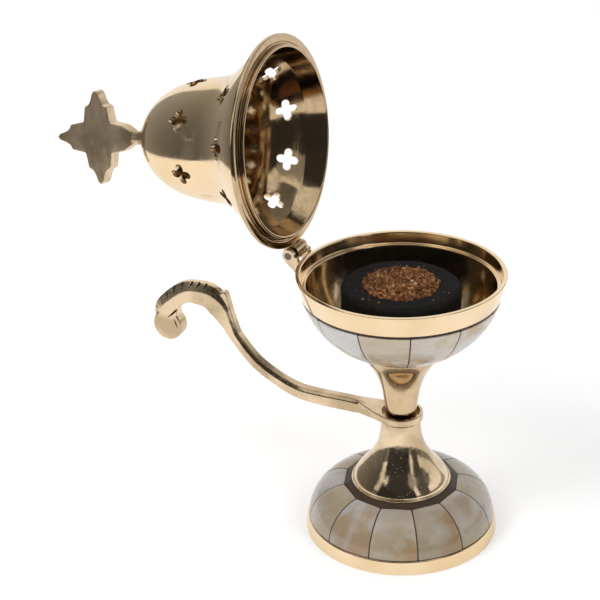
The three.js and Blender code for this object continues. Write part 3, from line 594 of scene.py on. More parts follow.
def softened(outline, radius):
    """Rounds the sharper corners of a closed outline"""
    steps = 4
    least_turn = 20
    result = []
    for index, corner in enumerate(outline):
        corner = Vector(corner)
        before = Vector(outline[index - 1]) - corner
        after = Vector(outline[(index + 1) % len(outline)]) - corner
        doubled = before.length < 1e-6 or after.length < 1e-6
        if doubled or corner.x < 1e-6 or degrees(before.angle(-after)) < least_turn:
            result.append(tuple(corner))
            continue
        start = corner + before.normalized() * min(radius, before.length * 0.48)
        end = corner + after.normalized() * min(radius, after.length * 0.48)
        for share in samples(0, 1, steps):
            result.append(tuple(start.lerp(corner, share).lerp(corner.lerp(end, share), share)))
    return result


def joined(rings, size):
    """Faces from each of some rings of corners to the next, and from the last to the first"""
    faces = []
    for j in range(rings):
        k = (j + 1) % rings
        for i in range(size):
            n = (i + 1) % size
            faces.append((j * size + i, j * size + n, k * size + n, k * size + i))
    return faces


def looped(rings):
    """Closed shape through rings of corners that come back to the first ring"""
    return [corner for ring in rings for corner in ring], joined(len(rings), len(rings[0]))


def lofted(rings):
    """Closed shape through a row of rings, with a face at each end"""
    size = len(rings[0])
    corners = [corner for ring in rings for corner in ring]
    ends = [tuple(range(size)), tuple(range(len(corners) - 1, len(corners) - 1 - size, -1))]
    sides = joined(len(rings), size)[:-size]
    return corners, ends + [(a, d, c, b) for a, b, c, d in sides]


def turned(outline, sides=SIDES):
    """Turns a closed outline of (radius, height) points about the axis"""
    return looped([[(x, y, height) for x, y in circle(0, 0, radius, sides)] for radius, height in outline])


def slab(outline, thickness):
    """Extrudes an outline of (x, z) points along Y"""
    return lofted([[(x, side * thickness / 2, z) for x, z in outline] for side in (-1, 1)])


def prism(outline, bottom, top):
    """Extrudes an outline of (x, y) points up"""
    return lofted([[(x, y, height) for x, y in outline] for height in (bottom, top)])


def plate(columns, rows, point_at):
    """Closed shape from a grid on two faces; point_at(column share, row share, face) gives a corner"""
    corners = [
        point_at(i / columns, j / rows, face)
        for face in (0, 1)
        for i in range(columns + 1)
        for j in range(rows + 1)
    ]

    def at(face, i, j):
        return (face * (columns + 1) + i) * (rows + 1) + j

    faces = []
    for i in range(columns):
        for j in range(rows):
            faces.append((at(0, i, j), at(0, i + 1, j), at(0, i + 1, j + 1), at(0, i, j + 1)))
            faces.append((at(1, i, j), at(1, i, j + 1), at(1, i + 1, j + 1), at(1, i + 1, j)))
        faces.append((at(0, i, 0), at(1, i, 0), at(1, i + 1, 0), at(0, i + 1, 0)))
        faces.append((at(0, i, rows), at(0, i + 1, rows), at(1, i + 1, rows), at(1, i, rows)))
    for j in range(rows):
        faces.append((at(0, 0, j), at(0, 0, j + 1), at(1, 0, j + 1), at(1, 0, j)))
        faces.append((at(0, columns, j), at(1, columns, j), at(1, columns, j + 1), at(0, columns, j + 1)))
    return corners, faces


def add_copy(corners, faces, shape):
    """Adds a shape to growing lists of corners and faces"""
    offset = len(corners)
    corners += [tuple(corner) for corner in shape[0]]
    faces += [tuple(offset + i for i in face) for face in shape[1]]


# Objects

def linked(name, data):
    """Object with its data, linked to the scene"""
    thing = bpy.data.objects.new(name, data)
    bpy.context.scene.collection.objects.link(thing)
    return thing


def mesh_from(name, shape, unit=MM):
    mesh = bpy.data.meshes.new(name)
    mesh.from_pydata([Vector(corner) * unit for corner in shape[0]], [], shape[1])
    return mesh


def placed(name, shape, place=on_axis):
    """Object from a shape, with coinciding corners joined and its faces turned out"""
    mesh = mesh_from(name, shape)
    work = bmesh.new()
    work.from_mesh(mesh)
    bmesh.ops.remove_doubles(work, verts=work.verts, dist=1e-4 * MM)
    bmesh.ops.recalc_face_normals(work, faces=work.faces)
    work.to_mesh(mesh)
    work.free()
    thing = linked(name, mesh)
    thing.matrix_world = place
    return thing


def modified(thing, kind, **settings):
    """Puts an object through a modifier"""
    modifier = thing.modifiers.new(kind, kind)
    for key, value in settings.items():
        setattr(modifier, key, value)
    graph = bpy.context.evaluated_depsgraph_get()
    mesh = bpy.data.meshes.new_from_object(thing.evaluated_get(graph))
    thing.modifiers.clear()
    thing.data = mesh


def combined(thing, other, operation):
    """Boolean of two objects, which uses up the second"""
    modified(thing, "BOOLEAN", operation=operation, solver="EXACT", object=other)
    bpy.data.objects.remove(other)


def bevelled(thing, width, segments=3, angle=35):
    """Rounds the sharp edges of an object"""
    limit = radians(angle)
    modified(thing, "BEVEL", width=width * MM, segments=segments, limit_method="ANGLE", angle_limit=limit)


def marked(mesh, name, values, domain="POINT"):
    """Stores a number for each corner or face, for the material to read"""
    mesh.attributes.new(name, "FLOAT", domain).data.foreach_set("value", values)


def marked_smoke_and_shade(thing, share_at):
    """Marks how brown each corner is made by soot and painted shade, by its radius and height"""
    places = [(hypot(corner.co.x, corner.co.y) / MM, corner.co.z / MM) for corner in thing.data.vertices]
    marked(thing.data, "smoke_and_shade", [share_at(radius, height) for radius, height in places])


def dressed(thing, slot, body, *nodes, crease=35):
    """Gives a finished piece its material and shading, and puts it on its body in place of CAD nodes"""
    mesh = thing.data
    mesh.materials.clear()
    mesh.materials.append(MATERIALS[slot])
    mesh.shade_smooth()
    mesh.set_sharp_from_angle(angle=radians(crease))
    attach(thing, body)
    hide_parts(*nodes)


# Inlay of the foot and the bowl

class Oval:
    """Profile of the foot or the bowl, a quarter of an oval; depths are measured in from the tiles' faces"""

    def __init__(self, narrowest, widest, base, rise, up, seam_start):
        self.narrowest = narrowest
        self.reach = widest - narrowest
        self.base = base
        self.rise = rise
        self.up = up
        self.seam_start = radians(seam_start)

    def point(self, depth, angle):
        """Radius and height at an angle, from 0 at the widest place to a right angle at the narrowest"""
        height = self.base + self.up * (self.rise - depth) * sin(angle)
        return self.narrowest + (self.reach - depth) * cos(angle), height

    def at_height(self, depth, height):
        return asin(self.up * (height - self.base) / (self.rise - depth))

    def at_radius(self, depth, radius):
        widest = self.point(depth, 0)[0]
        narrowest = self.point(depth, pi / 2)[0]
        return acos((radius - narrowest) / (widest - narrowest))

    def between(self, depth, start_height, end_radius, share):
        """Point at a share of the way from a height to a radius"""
        start = self.at_height(depth, start_height)
        end = self.at_radius(depth, end_radius)
        return self.point(depth, start + (end - start) * share)


FOOT_TILE_FACE = FOOT_RADIUS - FOOT_RING_TAPER - FOOT_TILE_SETBACK
FOOT = Oval(FOOT_CREST_RADIUS, FOOT_TILE_FACE, FOOT_DOME_BASE, FOOT_DOME_RISE, 1, FOOT_SEAM_START)
BOWL = Oval(BOWL_FLOOR_RADIUS, RIM_RADIUS - RIM_PROUD, RIM_HEIGHT, BOWL_DEPTH, -1, BOWL_SEAM_START)


def inlay_tile(oval, index, thickness, start_height, end_radius):
    """One tile of a ring, with a chord for its narrow end"""
    half_step = pi / TILE_COUNT
    middle = oval.seam_start + (2 * index + 1) * half_step

    def point_at(across, along, face):
        side = 2 * across - 1
        chord = end_radius / cos(side * half_step)
        radius, height = oval.between(face * thickness, start_height, chord, along)
        return *polar(radius, middle + side * (half_step - asin(SEAM_WIDTH / 2 / radius))), height

    return plate(10, 14, point_at)


def tiles(oval, part, node, size, edge, seeds, tones, hues):
    """Ring of pearl tiles; size holds their thickness, start height and end radius"""
    for index in range(TILE_COUNT):
        tile = placed(f"{part}_pearl_{index + 1:02d}", inlay_tile(oval, index, *size))
        bevelled(tile, edge, angle=40)
        tile["tile_seed"] = seeds[0] + seeds[1] * index
        tile["tile_tone"] = random.uniform(*tones)
        tile["tile_hue"] = hues[index]
        dressed(tile, "pearl", "censer", f"{node}_tile_{index + 1:02d}")


def seamed_bed(oval, top_depth, low_depth, start_height, end_radius):
    """Bed under the tiles whose ridges rise in the seams nearly to the tiles' faces"""
    rows = 14
    columns = []
    for k in range(TILE_COUNT):
        seam = oval.seam_start + 2 * pi / TILE_COUNT * k
        columns += [(seam, -0.5, top_depth), (seam, -0.5 * RIDGE_SHARE, SEAM_DEPTH)]
        columns += [(seam, 0.5 * RIDGE_SHARE, SEAM_DEPTH), (seam, 0.5, top_depth)]
        columns += [(seam + 2 * pi / TILE_COUNT * i / 6, 0, top_depth) for i in range(1, 6)]

    def ring(row, depth_of):
        corners = []
        for seam, side, top in columns:
            radius, height = oval.between(depth_of(top), start_height, end_radius, row / rows)
            corners.append((*polar(radius, seam + asin(side * SEAM_WIDTH / radius)), height))
        return corners

    upper = [ring(row, lambda top: top) for row in range(rows + 1)]
    lower = [ring(row, lambda top: low_depth) for row in range(rows, -1, -1)]
    return looped(upper + lower)


# Foot

FOOT_TILE_END = CONE_FOOT_RADIUS + FOOT_TILE_CLEARANCE
FOOT_TILE_START = FOOT_RING_HEIGHT + BED_GAP
FOOT_BED_TOP = FOOT_TILE_THICKNESS + BED_GAP / 2
FOOT_BED_LOW = FOOT_TILE_THICKNESS + BED_GAP + FOOT_BED_THICKNESS
FOOT_SHELL_DEPTH = FOOT_BED_LOW + BED_GAP


def foot_shell():
    outer = FOOT.at_height(FOOT_SHELL_DEPTH, FOOT_RING_HEIGHT)
    crest = FOOT.point(FOOT_SHELL_DEPTH, pi / 2)[1]
    outline = [
        (FOOT_RADIUS - FOOT_WALL, 0), (FOOT_RADIUS, 0),
        (FOOT_RADIUS - FOOT_RING_TAPER, FOOT_RING_HEIGHT),
        *samples(outer, pi / 2, 16, lambda angle: FOOT.point(FOOT_SHELL_DEPTH, angle)),
        (CONE_FOOT_RADIUS, crest), (CONE_FOOT_RADIUS, CONE_SEAT), (BORE_RADIUS, CONE_SEAT),
        (BORE_RADIUS, crest - FOOT_WALL),
        *samples(pi / 2, 0, 16, lambda angle: FOOT.point(FOOT_SHELL_DEPTH + FOOT_WALL, angle)),
    ]
    shell = placed("foot_shell", turned(softened(outline, FOOT_EDGE)))
    dressed(shell, "polished_brass", "censer", "base_shell")


def foot_mastic():
    """Bed with its seams, and the twelve-sided collar of mastic round the cone's foot"""
    bed = placed("foot_mastic", seamed_bed(FOOT, FOOT_BED_TOP, FOOT_BED_LOW, FOOT_TILE_START, FOOT_TILE_END))
    face = FOOT_DOME_BASE + FOOT_DOME_RISE
    hole = CONE_FOOT_RADIUS + COLLAR_GAP
    rings = []
    for across, rise in COLLAR_PROFILE:
        ring = []
        for i in range(COLLAR_SIDES):
            angle = 2 * pi * i / COLLAR_SIDES
            turn = (angle - FOOT.seam_start) % (2 * pi / TILE_COUNT) - pi / TILE_COUNT
            outer = (FOOT_TILE_END - COLLAR_SETBACK) / cos(turn)
            x, y = polar(hole + (outer - hole) * across, angle)
            lump = COLLAR_LUMPS * noise.noise(Vector((x, y, 5)) * 0.5)
            ring.append((x, y, face + rise * COLLAR_RISE + lump if rise > 0 else face + rise))
        rings.append(ring)
    combined(bed, placed("collar", looped(rings)), "UNION")
    dressed(bed, "mastic", "censer", "base_mastic", crease=50)


def foot_tiles():
    size = (FOOT_TILE_THICKNESS, FOOT_TILE_START, FOOT_TILE_END)
    tiles(FOOT, "foot", "base", size, FOOT_TILE_EDGE, (5, 37.0), FOOT_TILE_TONES, FOOT_TILE_HUES)


# Stem

def cone():
    collar_top = CONE_BASE + CONE_COLLAR_HEIGHT
    top = CONE_BASE + CONE_HEIGHT
    spread = CONE_FOOT_RADIUS - CONE_TOP_RADIUS - CONE_COLLAR_ROUNDING
    outline = [
        (BORE_RADIUS, CONE_BASE), (CONE_FOOT_RADIUS, CONE_BASE), (CONE_FOOT_RADIUS, collar_top),
        *samples(0, top - collar_top, 40, lambda rise: (
            CONE_TOP_RADIUS + spread * flare(rise, *CONE_FLARE), collar_top + rise,
        )),
        (BORE_RADIUS, top),
    ]
    stem = placed("cone", turned(softened(outline, CONE_COLLAR_ROUNDING)))
    dressed(stem, "cast_brass", "censer", "lower_stem")


def trumpet():
    lip_base = TRUMPET_BASE + TRUMPET_HEIGHT - TRUMPET_LIP_HEIGHT
    lip_top = lip_base + TRUMPET_LIP_HEIGHT
    collar_top = lip_base + TRUMPET_COLLAR_RISE
    spread = TRUMPET_TOP_RADIUS - TRUMPET_FOOT_RADIUS
    outline = [
        (BORE_RADIUS, TRUMPET_BASE),
        *samples(lip_base - TRUMPET_BASE, 0, 48, lambda drop: (
            TRUMPET_FOOT_RADIUS + spread * flare(drop, *TRUMPET_FLARE), lip_base - drop,
        )),
        (TRUMPET_TOP_RADIUS + TRUMPET_COLLAR_SPREAD, collar_top),
        (BOSS_RADIUS + TRUMPET_COLLAR_MOUTH, collar_top),
        (BOSS_RADIUS + BOSS_GAP, lip_top + BOSS_GAP), (BOSS_RADIUS + BOSS_GAP, lip_top),
        (BORE_RADIUS, lip_top),
    ]
    stem = placed("trumpet", turned(softened(outline, TRUMPET_EDGE)))
    # The whole trumpet is browned evenly
    marked_smoke_and_shade(stem, lambda radius, height: TRUMPET_BROWNING)
    dressed(stem, "polished_brass", "censer", "upper_stem")


# Handle

def along_curve(points, share):
    """Point of a smooth curve through the given points, at a share of the way along them"""
    position = share * (len(points) - 1)
    index = min(int(position), len(points) - 2)
    step = position - index
    near, far = np.array(points[index], float), np.array(points[index + 1], float)
    before = np.array(points[index - 1], float) if index > 0 else 2 * near - far
    after = np.array(points[index + 2], float) if index + 2 < len(points) else 2 * far - near
    leave, arrive = (far - before) / 2, (after - near) / 2
    square, cube = step**2, step**3
    return (
        (2 * cube - 3 * square + 1) * near
        + (cube - 2 * square + step) * leave
        + (3 * square - 2 * cube) * far
        + (cube - square) * arrive
    )


def heading(points, share):
    """Direction of the curve at a share of the way, in its first two coordinates"""
    low, high = (along_curve(points, min(1, max(0, share + step)))[:2] for step in (-1e-4, 1e-4))
    return (high - low) / np.linalg.norm(high - low)


def bar_section(share):
    """Centre, direction, outward direction, half thickness, and depth and inset of the bar's outer bevel"""
    x, rise, half, bevel = along_curve(BAR_STATIONS, share)
    along = heading(BAR_STATIONS, share)
    drop = OUTER_EDGE_BREAK + (SCROLL_BEVEL_DEPTH - OUTER_EDGE_BREAK) * bevel
    inset = OUTER_EDGE_BREAK + (SCROLL_BEVEL_INSET - OUTER_EDGE_BREAK) * bevel
    centre = Vector((x, 0, rise))
    return centre, Vector((along[0], 0, along[1])), Vector((along[1], 0, -along[0])), half, drop, inset


def bar_ring(share):
    centre, _, outward, half, drop, inset = bar_section(share)
    side = BAR_WIDTH / 2
    corners = [(-half, side - EDGE_BREAK), (-half + EDGE_BREAK, side)]
    corners += [(half - drop, side), (half, side - inset)]
    corners += [(out, -y) for out, y in reversed(corners)]
    return [(centre.x + outward.x * out, y, EYE_UNDERSIDE + centre.z + outward.z * out) for out, y in corners]


def tangent_outline(start, start_radius, end, end_radius):
    """Outline of two circles' common hull"""
    (x0, y0), (x1, y1) = start, end
    direction = atan2(y1 - y0, x1 - x0)
    lean = acos((start_radius - end_radius) / hypot(x1 - x0, y1 - y0))

    def arc(x, y, radius, low, high):
        points = samples(low, high, 24, lambda angle: polar(radius, direction + angle))
        return [(x + across, y + along) for across, along in points]

    return arc(x0, y0, start_radius, lean, 2 * pi - lean) + arc(x1, y1, end_radius, -lean, lean)


def strip_outline(stations):
    """Outline of a strip along a smooth curve through (x, height, half thickness) stations"""
    sides = [[], []]
    for share in samples(0, 1, 30):
        x, rise, half = along_curve(stations, share)
        along = heading(stations, share)
        for side, sign in zip(sides, (-1, 1)):
            side.append(above((x + sign * half * along[1], rise - sign * half * along[0])))
    return sides[0] + sides[1][::-1]


def above(point):
    """Point whose height is measured from the eye's underside"""
    return point[0], EYE_UNDERSIDE + point[1]


def add_groove(corners, faces, stops, normal, width, depth):
    """Adds a V-shaped cutter along a row of (point, size) stops on a surface; the normal points out of it"""
    rings = []
    for index, (point, size) in enumerate(stops):
        behind = stops[max(0, index - 1)][0]
        ahead = stops[min(len(stops) - 1, index + 1)][0]
        aside = (ahead - behind).cross(normal).normalized() * width * (1 + size) / 2
        lift = normal * depth
        rings.append([point - aside + lift, point - lift * size, point + aside + lift])
    add_copy(corners, faces, lofted(rings))


def notches():
    """Slanted file cuts across both bevels of the scroll's outer edge, widest at its outer face"""
    corners, faces = [], []
    last = len(BAR_STATIONS) - 1
    slant = radians(NOTCH_SLANT)
    for share in samples(FIRST_NOTCH_STATION / last, LAST_NOTCH_STATION / last, NOTCH_COUNT - 1):
        centre, along, outward, half, drop, inset = bar_section(share)
        centre.z += EYE_UNDERSIDE
        for side in (-1, 1):
            across = Vector((0, side, 0))
            up = outward * drop - across * inset
            normal = (outward * inset + across * drop).normalized()
            middle = centre + outward * (half - drop / 2) + across * (BAR_WIDTH - inset) / 2
            lean = up * cos(slant) - along * up.length * sin(slant)
            size = random.uniform(*NOTCH_SIZES)
            stops = [(middle + lean * place, taper * size) for place, taper in NOTCH_STOPS]
            add_groove(corners, faces, stops, normal, NOTCH_WIDTH, NOTCH_DEPTH)
    for crease in BULB_CREASES:
        for side in (-1, 1):
            y = side * BAR_WIDTH / 2
            stops = [(Vector((x, y, EYE_UNDERSIDE + rise)), size) for x, rise, size in crease]
            add_groove(corners, faces, stops, Vector((0, side, 0)), CREASE_WIDTH, CREASE_DEPTH)
    return corners, faces


def shaded_in_cuts(thing, skin, depth):
    """Marks how deep each corner lies from an earlier skin of the object, for the painted shade in its cuts"""
    corners = [corner.co for corner in skin.vertices]
    tree = BVHTree.FromPolygons(corners, [face.vertices for face in skin.polygons])
    marks = [min(1, tree.find_nearest(corner.co)[3] / (depth * MM)) for corner in thing.data.vertices]
    marked(thing.data, "cut_shade", marks)


def handle():
    """One casting: bar, bulb, tongue, eye and root, remeshed and smoothed, and then cut"""
    casting = placed("handle_casting", lofted(samples(0, 1, 160, bar_ring)))
    bulb = placed("bulb", slab(circle(*above(BAR_STATIONS[-1][:2]), BULB_RADIUS, 96), BAR_WIDTH))
    tongue_width = BAR_WIDTH - 2 * OUTER_EDGE_BREAK + 2 * TONGUE_SIDE_PROUD
    tongue = placed("tongue", slab(strip_outline(TONGUE_STATIONS), tongue_width))
    eye = placed("eye", prism(circle(0, 0, EYE_RADIUS, 128), EYE_UNDERSIDE, EYE_UNDERSIDE + EYE_THICKNESS))
    root_plan = tangent_outline((0, 0), EYE_RADIUS, (-ROOT_LENGTH, 0), BAR_WIDTH / 2 - OUTER_EDGE_BREAK)
    root = placed("root", prism(root_plan, EYE_UNDERSIDE - EYE_THICKNESS, EYE_UNDERSIDE + 3 * EYE_THICKNESS))
    rise, half = BAR_STATIONS[1][1:3]
    root_low = [(-ROOT_LENGTH, rise - half), (-EYE_RADIUS, 0), (0, 0)]
    root_top = [(0, EYE_THICKNESS), (-EYE_RADIUS, EYE_THICKNESS), (-ROOT_LENGTH, rise + half)]
    root_side = [above(point) for point in root_low + root_top]
    combined(root, placed("root_cut", slab(root_side, 2 * EYE_RADIUS + BAR_WIDTH)), "INTERSECT")
    for part in (bulb, tongue, eye, root):
        combined(casting, part, "UNION")
    modified(casting, "REMESH", mode="VOXEL", voxel_size=HANDLE_VOXEL * MM)
    modified(casting, "SMOOTH", factor=0.5, iterations=HANDLE_SMOOTHING)

    skin = casting.data.copy()
    combined(casting, placed("notches", notches()), "DIFFERENCE")
    # Painted shade: corners that lie deep in the notches and creases are darkened
    shaded_in_cuts(casting, skin, CUT_SHADE_DEPTH)
    recess = circle(0, 0, EYE_RADIUS - EYE_WALL, 128)
    recess_top = TRUMPET_BASE + TRUMPET_HEIGHT
    combined(casting, placed("recess", prism(recess, EYE_UNDERSIDE + EYE_FLOOR, recess_top)), "DIFFERENCE")
    bore = prism(circle(0, 0, BORE_RADIUS), CONE_BASE, TRUMPET_BASE + 1)
    combined(casting, placed("bore", bore), "DIFFERENCE")
    casting["dullness"] = HANDLE_DULLNESS
    dressed(casting, "cast_brass", "censer", "handle", crease=50)


# Bowl

BAND_BASE = RIM_HEIGHT - RIM_BAND_HEIGHT
BAND_BASE_RADIUS = RIM_RADIUS - RIM_BAND_TAPER
BOWL_BED_TOP = BOWL_TILE_THICKNESS + BED_GAP / 2
BOWL_BED_LOW = BOWL_TILE_THICKNESS + BED_GAP + BOWL_BED_THICKNESS
BOWL_SHELL_DEPTH = BOWL_BED_LOW + BED_GAP
BOWL_BED_START = BAND_BASE - MASTIC_LINE_WIDTH
BOWL_TILE_START = BOWL_BED_START - BED_GAP


def mid_wall_radius(height):
    """Radius midway through the bowl's wall at a height"""
    depth = (BOWL_SKIN + BOWL_SHELL_DEPTH) / 2
    drop = min(1, (RIM_HEIGHT - height) / (BOWL_DEPTH - depth))
    return BOWL.point(depth, asin(drop))[0] if drop > 0 else RIM_RADIUS - RIM_LIP_WIDTH / 2


def bowl():
    rim_inner = RIM_RADIUS - RIM_LIP_WIDTH
    ledge_height = RIM_HEIGHT - LEDGE_DEPTH
    shell_start = BOWL.at_radius(BOWL_SHELL_DEPTH, BOSS_RADIUS)
    shell_end = BOWL.at_height(BOWL_SHELL_DEPTH, BAND_BASE)
    ledge = BOWL.at_height(BOWL_SKIN, ledge_height)
    outline = [
        (BORE_RADIUS, BOSS_BASE), (BOSS_RADIUS, BOSS_BASE),
        *samples(shell_start, shell_end, 12, lambda angle: BOWL.point(BOWL_SHELL_DEPTH, angle)),
        (BAND_BASE_RADIUS, BAND_BASE), (RIM_RADIUS, RIM_HEIGHT), (rim_inner, RIM_HEIGHT),
        (rim_inner - LEDGE_TAPER, ledge_height),
        *samples(ledge, pi / 2, 40, lambda angle: BOWL.point(BOWL_SKIN, angle)),
        (BORE_RADIUS, BOWL.point(BOWL_SKIN, pi / 2)[1]),
    ]
    cup = placed("bowl_shell", turned(softened(outline, BOWL_EDGE), BELL_SIDES))

    def smoke_and_shade(radius, height):
        wall_radius = rim_inner if height > ledge_height else rim_inner - LEDGE_TAPER
        inside = height > BOSS_BASE + BOWL_SKIN and radius < min(wall_radius, mid_wall_radius(height))
        return BOWL_SMOKE if inside else 0

    marked_smoke_and_shade(cup, smoke_and_shade)
    dressed(cup, "polished_brass", "censer", "bowl")


def bowl_mastic():
    """Bed with its seams, and the line of mastic under the rim's band"""
    end_radius = BOSS_RADIUS + BOSS_BED_GAP
    bed = placed("bowl_bed", seamed_bed(BOWL, BOWL_BED_TOP, BOWL_BED_LOW, BOWL_BED_START, end_radius))
    line_top = BAND_BASE - MASTIC_LINE_GAP
    line_radius = BAND_BASE_RADIUS - MASTIC_LINE_RECESS
    inner = BOWL.point(BOWL_BED_LOW, BOWL.at_height(BOWL_BED_LOW, line_top))[0]
    line = placed("line", turned([
        (inner, BOWL_BED_START), (line_radius - MASTIC_LINE_EDGE[0], BOWL_BED_START),
        (line_radius, BOWL_BED_START + MASTIC_LINE_EDGE[1]), (line_radius, line_top),
        (inner, line_top),
    ]))
    combined(bed, line, "UNION")
    dressed(bed, "mastic", "censer", "bowl_mastic", crease=50)


def bowl_tiles():
    size = (BOWL_TILE_THICKNESS, BOWL_TILE_START, BOSS_RADIUS + BOWL_TILE_CLEARANCE)
    tiles(BOWL, "bowl", "bowl", size, BOWL_TILE_EDGE, (400, 53.0), BOWL_TILE_TONES, BOWL_TILE_HUES)


# Lid

def bell_radius_at(height):
    share = max(0, (height - BELL_SHOULDER) / (BELL_HEIGHT - BELL_SHOULDER))
    dome = BELL_RADIUS * sqrt(max(0, 1 - share**BELL_DOME_POWER))
    return dome + BELL_FLARE_WIDTH * flare(max(0, height - FLANGE_THICKNESS), *BELL_FLARE)


def bell_outline():
    """The bell's outside, with more points where the crown turns in"""
    crown_share = (1 - (CROWN_SEAT_RADIUS / BELL_RADIUS) ** 2) ** (1 / BELL_DOME_POWER)
    rise = (BELL_HEIGHT - BELL_SHOULDER) * crown_share
    heights = samples(FLANGE_THICKNESS, BELL_SHOULDER, 30)
    heights += samples(0, pi / 2, 44, lambda turn: BELL_SHOULDER + rise * sin(turn))[1:]
    return [(bell_radius_at(height), height) for height in heights]


def inset(outline, distance):
    """Moves each point of an outline inwards, square to the outline there"""
    moved = []
    for index, (radius, height) in enumerate(outline):
        low = outline[max(0, index - 1)]
        high = outline[min(len(outline) - 1, index + 1)]
        length = dist(low, high)
        moved.append((
            radius - distance * (high[1] - low[1]) / length,
            height + distance * (high[0] - low[0]) / length,
        ))
    return moved


def piercing_outline():
    """A plus with round ends"""
    points = []
    for i in range(PIERCING_SIDES):
        turn = 2 * pi * i / PIERCING_SIDES
        from_lobe = (turn + pi / 4) % (pi / 2) - pi / 4
        aside = abs(sin(from_lobe))
        if PIERCING_LOBE_OFFSET * abs(tan(from_lobe)) < PIERCING_LOBE_RADIUS:
            bulge = sqrt(PIERCING_LOBE_RADIUS**2 - (PIERCING_LOBE_OFFSET * aside) ** 2)
            radius = PIERCING_LOBE_OFFSET * cos(from_lobe) + bulge
        else:
            radius = PIERCING_LOBE_RADIUS / aside
        points.append(polar(radius, turn))
    return points


def piercings():
    """Openings in rows round the bell, cut square to its surface"""
    corners, faces = [], []
    shape, shape_faces = prism(piercing_outline(), -2 * BELL_WALL, 2 * BELL_WALL)
    for height, count, start in PIERCING_ROWS:
        narrowing = bell_radius_at(height - SLOPE_STEP) - bell_radius_at(height + SLOPE_STEP)
        slope = atan2(narrowing, 2 * SLOPE_STEP)
        for k in range(count):
            place = Matrix.Rotation(radians(start + 360 * k / count), 4, "Z")
            place = place @ Matrix.Translation((bell_radius_at(height), 0, FLANGE_BASE + height))
            place = place @ Matrix.Rotation(pi / 2 - slope, 4, "Y")
            add_copy(corners, faces, ([place @ Vector(corner) for corner in shape], shape_faces))
    return corners, faces


def lid_bell():
    outside = bell_outline()
    crown = outside[-1][1]
    inside = [point for point in inset(outside, BELL_WALL) if point[1] > MOUTH_CONE_HEIGHT][::-1]
    inside[0] = (CROWN_SEAT_RADIUS, crown - BELL_WALL)
    outline = [
        (SPIGOT_RADIUS - SPIGOT_WALL, -SPIGOT_DEPTH), (SPIGOT_RADIUS, -SPIGOT_DEPTH),
        (SPIGOT_RADIUS, FLANGE_GROOVE_DEPTH),
        (SPIGOT_RADIUS + FLANGE_GROOVE_WIDTH, FLANGE_GROOVE_DEPTH),
        (SPIGOT_RADIUS + FLANGE_GROOVE_WIDTH, 0), (FLANGE_RADIUS, 0),
        (FLANGE_RADIUS, FLANGE_THICKNESS),
        *outside,
        (STUD_BORE_RADIUS, crown), (STUD_BORE_RADIUS, crown - BELL_WALL),
        *inside,
    ]
    outline = [(radius, FLANGE_BASE + height) for radius, height in softened(outline, BELL_EDGE)]
    bell = placed("lid_shell", turned(outline, BELL_SIDES), lid_open)
    combined(bell, placed("piercings", piercings(), lid_open), "DIFFERENCE")

    # Soot and painted shade: the bell's inside and the flange's underside are fully browned, the flange's
    # outer rim nearly so
    def smoke_and_shade(radius, height):
        height -= FLANGE_BASE
        if height < FLANGE_THICKNESS + FLANGE_EDGE:
            return 1.0 if radius < SPIGOT_RADIUS + FLANGE_GROOVE_WIDTH else FLANGE_SHADE
        return min(1, max(0, (bell_radius_at(height) - radius) / (INNER_SMOKE_AND_SHADE_DEPTH * BELL_WALL)))

    marked_smoke_and_shade(bell, smoke_and_shade)
    dressed(bell, "polished_brass", "lid", "lid_bell")


def finial():
    """Flat cross with ogee arms on a round neck"""
    arm = [tuple(along_curve(ARM_STATIONS, share)) for share in samples(0, 1, 30)]
    arm += [(along, -across) for along, across in arm[-2::-1]]
    neck_arm = [*ARM_STATIONS[:3], (CROSS_CENTRE - NECK_TOP, NECK_RADIUS)]
    neck_arm += [(along, -across) for along, across in neck_arm[::-1]]
    outline = []
    for dx, dz in ((1, 0), (0, 1), (-1, 0), (0, -1)):
        for along, across in neck_arm if dz < 0 else arm:
            outline.append((along * dx + across * dz, FLANGE_BASE + CROSS_CENTRE + along * dz - across * dx))
    cross = placed("finial", slab(outline, CROSS_THICKNESS), lid_open)
    seat = bell_outline()[-1][1] + STUD_GAP
    neck_outline = [
        (0, seat - STUD_LENGTH), (STUD_BORE_RADIUS - STUD_GAP, seat - STUD_LENGTH),
        (STUD_BORE_RADIUS - STUD_GAP, seat), (NECK_FOOT_RADIUS, seat),
        (NECK_FOOT_RADIUS, seat + NECK_FOOT_HEIGHT), (NECK_RADIUS, (seat + NECK_TOP) / 2),
        (NECK_RADIUS, NECK_TOP + NECK_RADIUS), (0, NECK_TOP + NECK_RADIUS),
    ]
    neck_outline = [(radius, FLANGE_BASE + height) for radius, height in softened(neck_outline, NECK_EDGE)]
    bevelled(cross, CROSS_EDGE, segments=4)
    combined(cross, placed("neck", turned(neck_outline, 64), lid_open), "UNION")
    cross.data.transform(Matrix.Rotation(radians(CROSS_TURN), 4, "Z"))
    cross["tarnish"] = 0.0
    cross["dullness"] = CROSS_DULLNESS
    dressed(cross, "cast_brass", "lid", "finial_cross", crease=50)


# Charcoal and incense

def dish_height(radius):
    share = min(1, radius / DISH_RADIUS)
    return CHARCOAL_TOP - DISH_DEPTH * (1 - share**2)


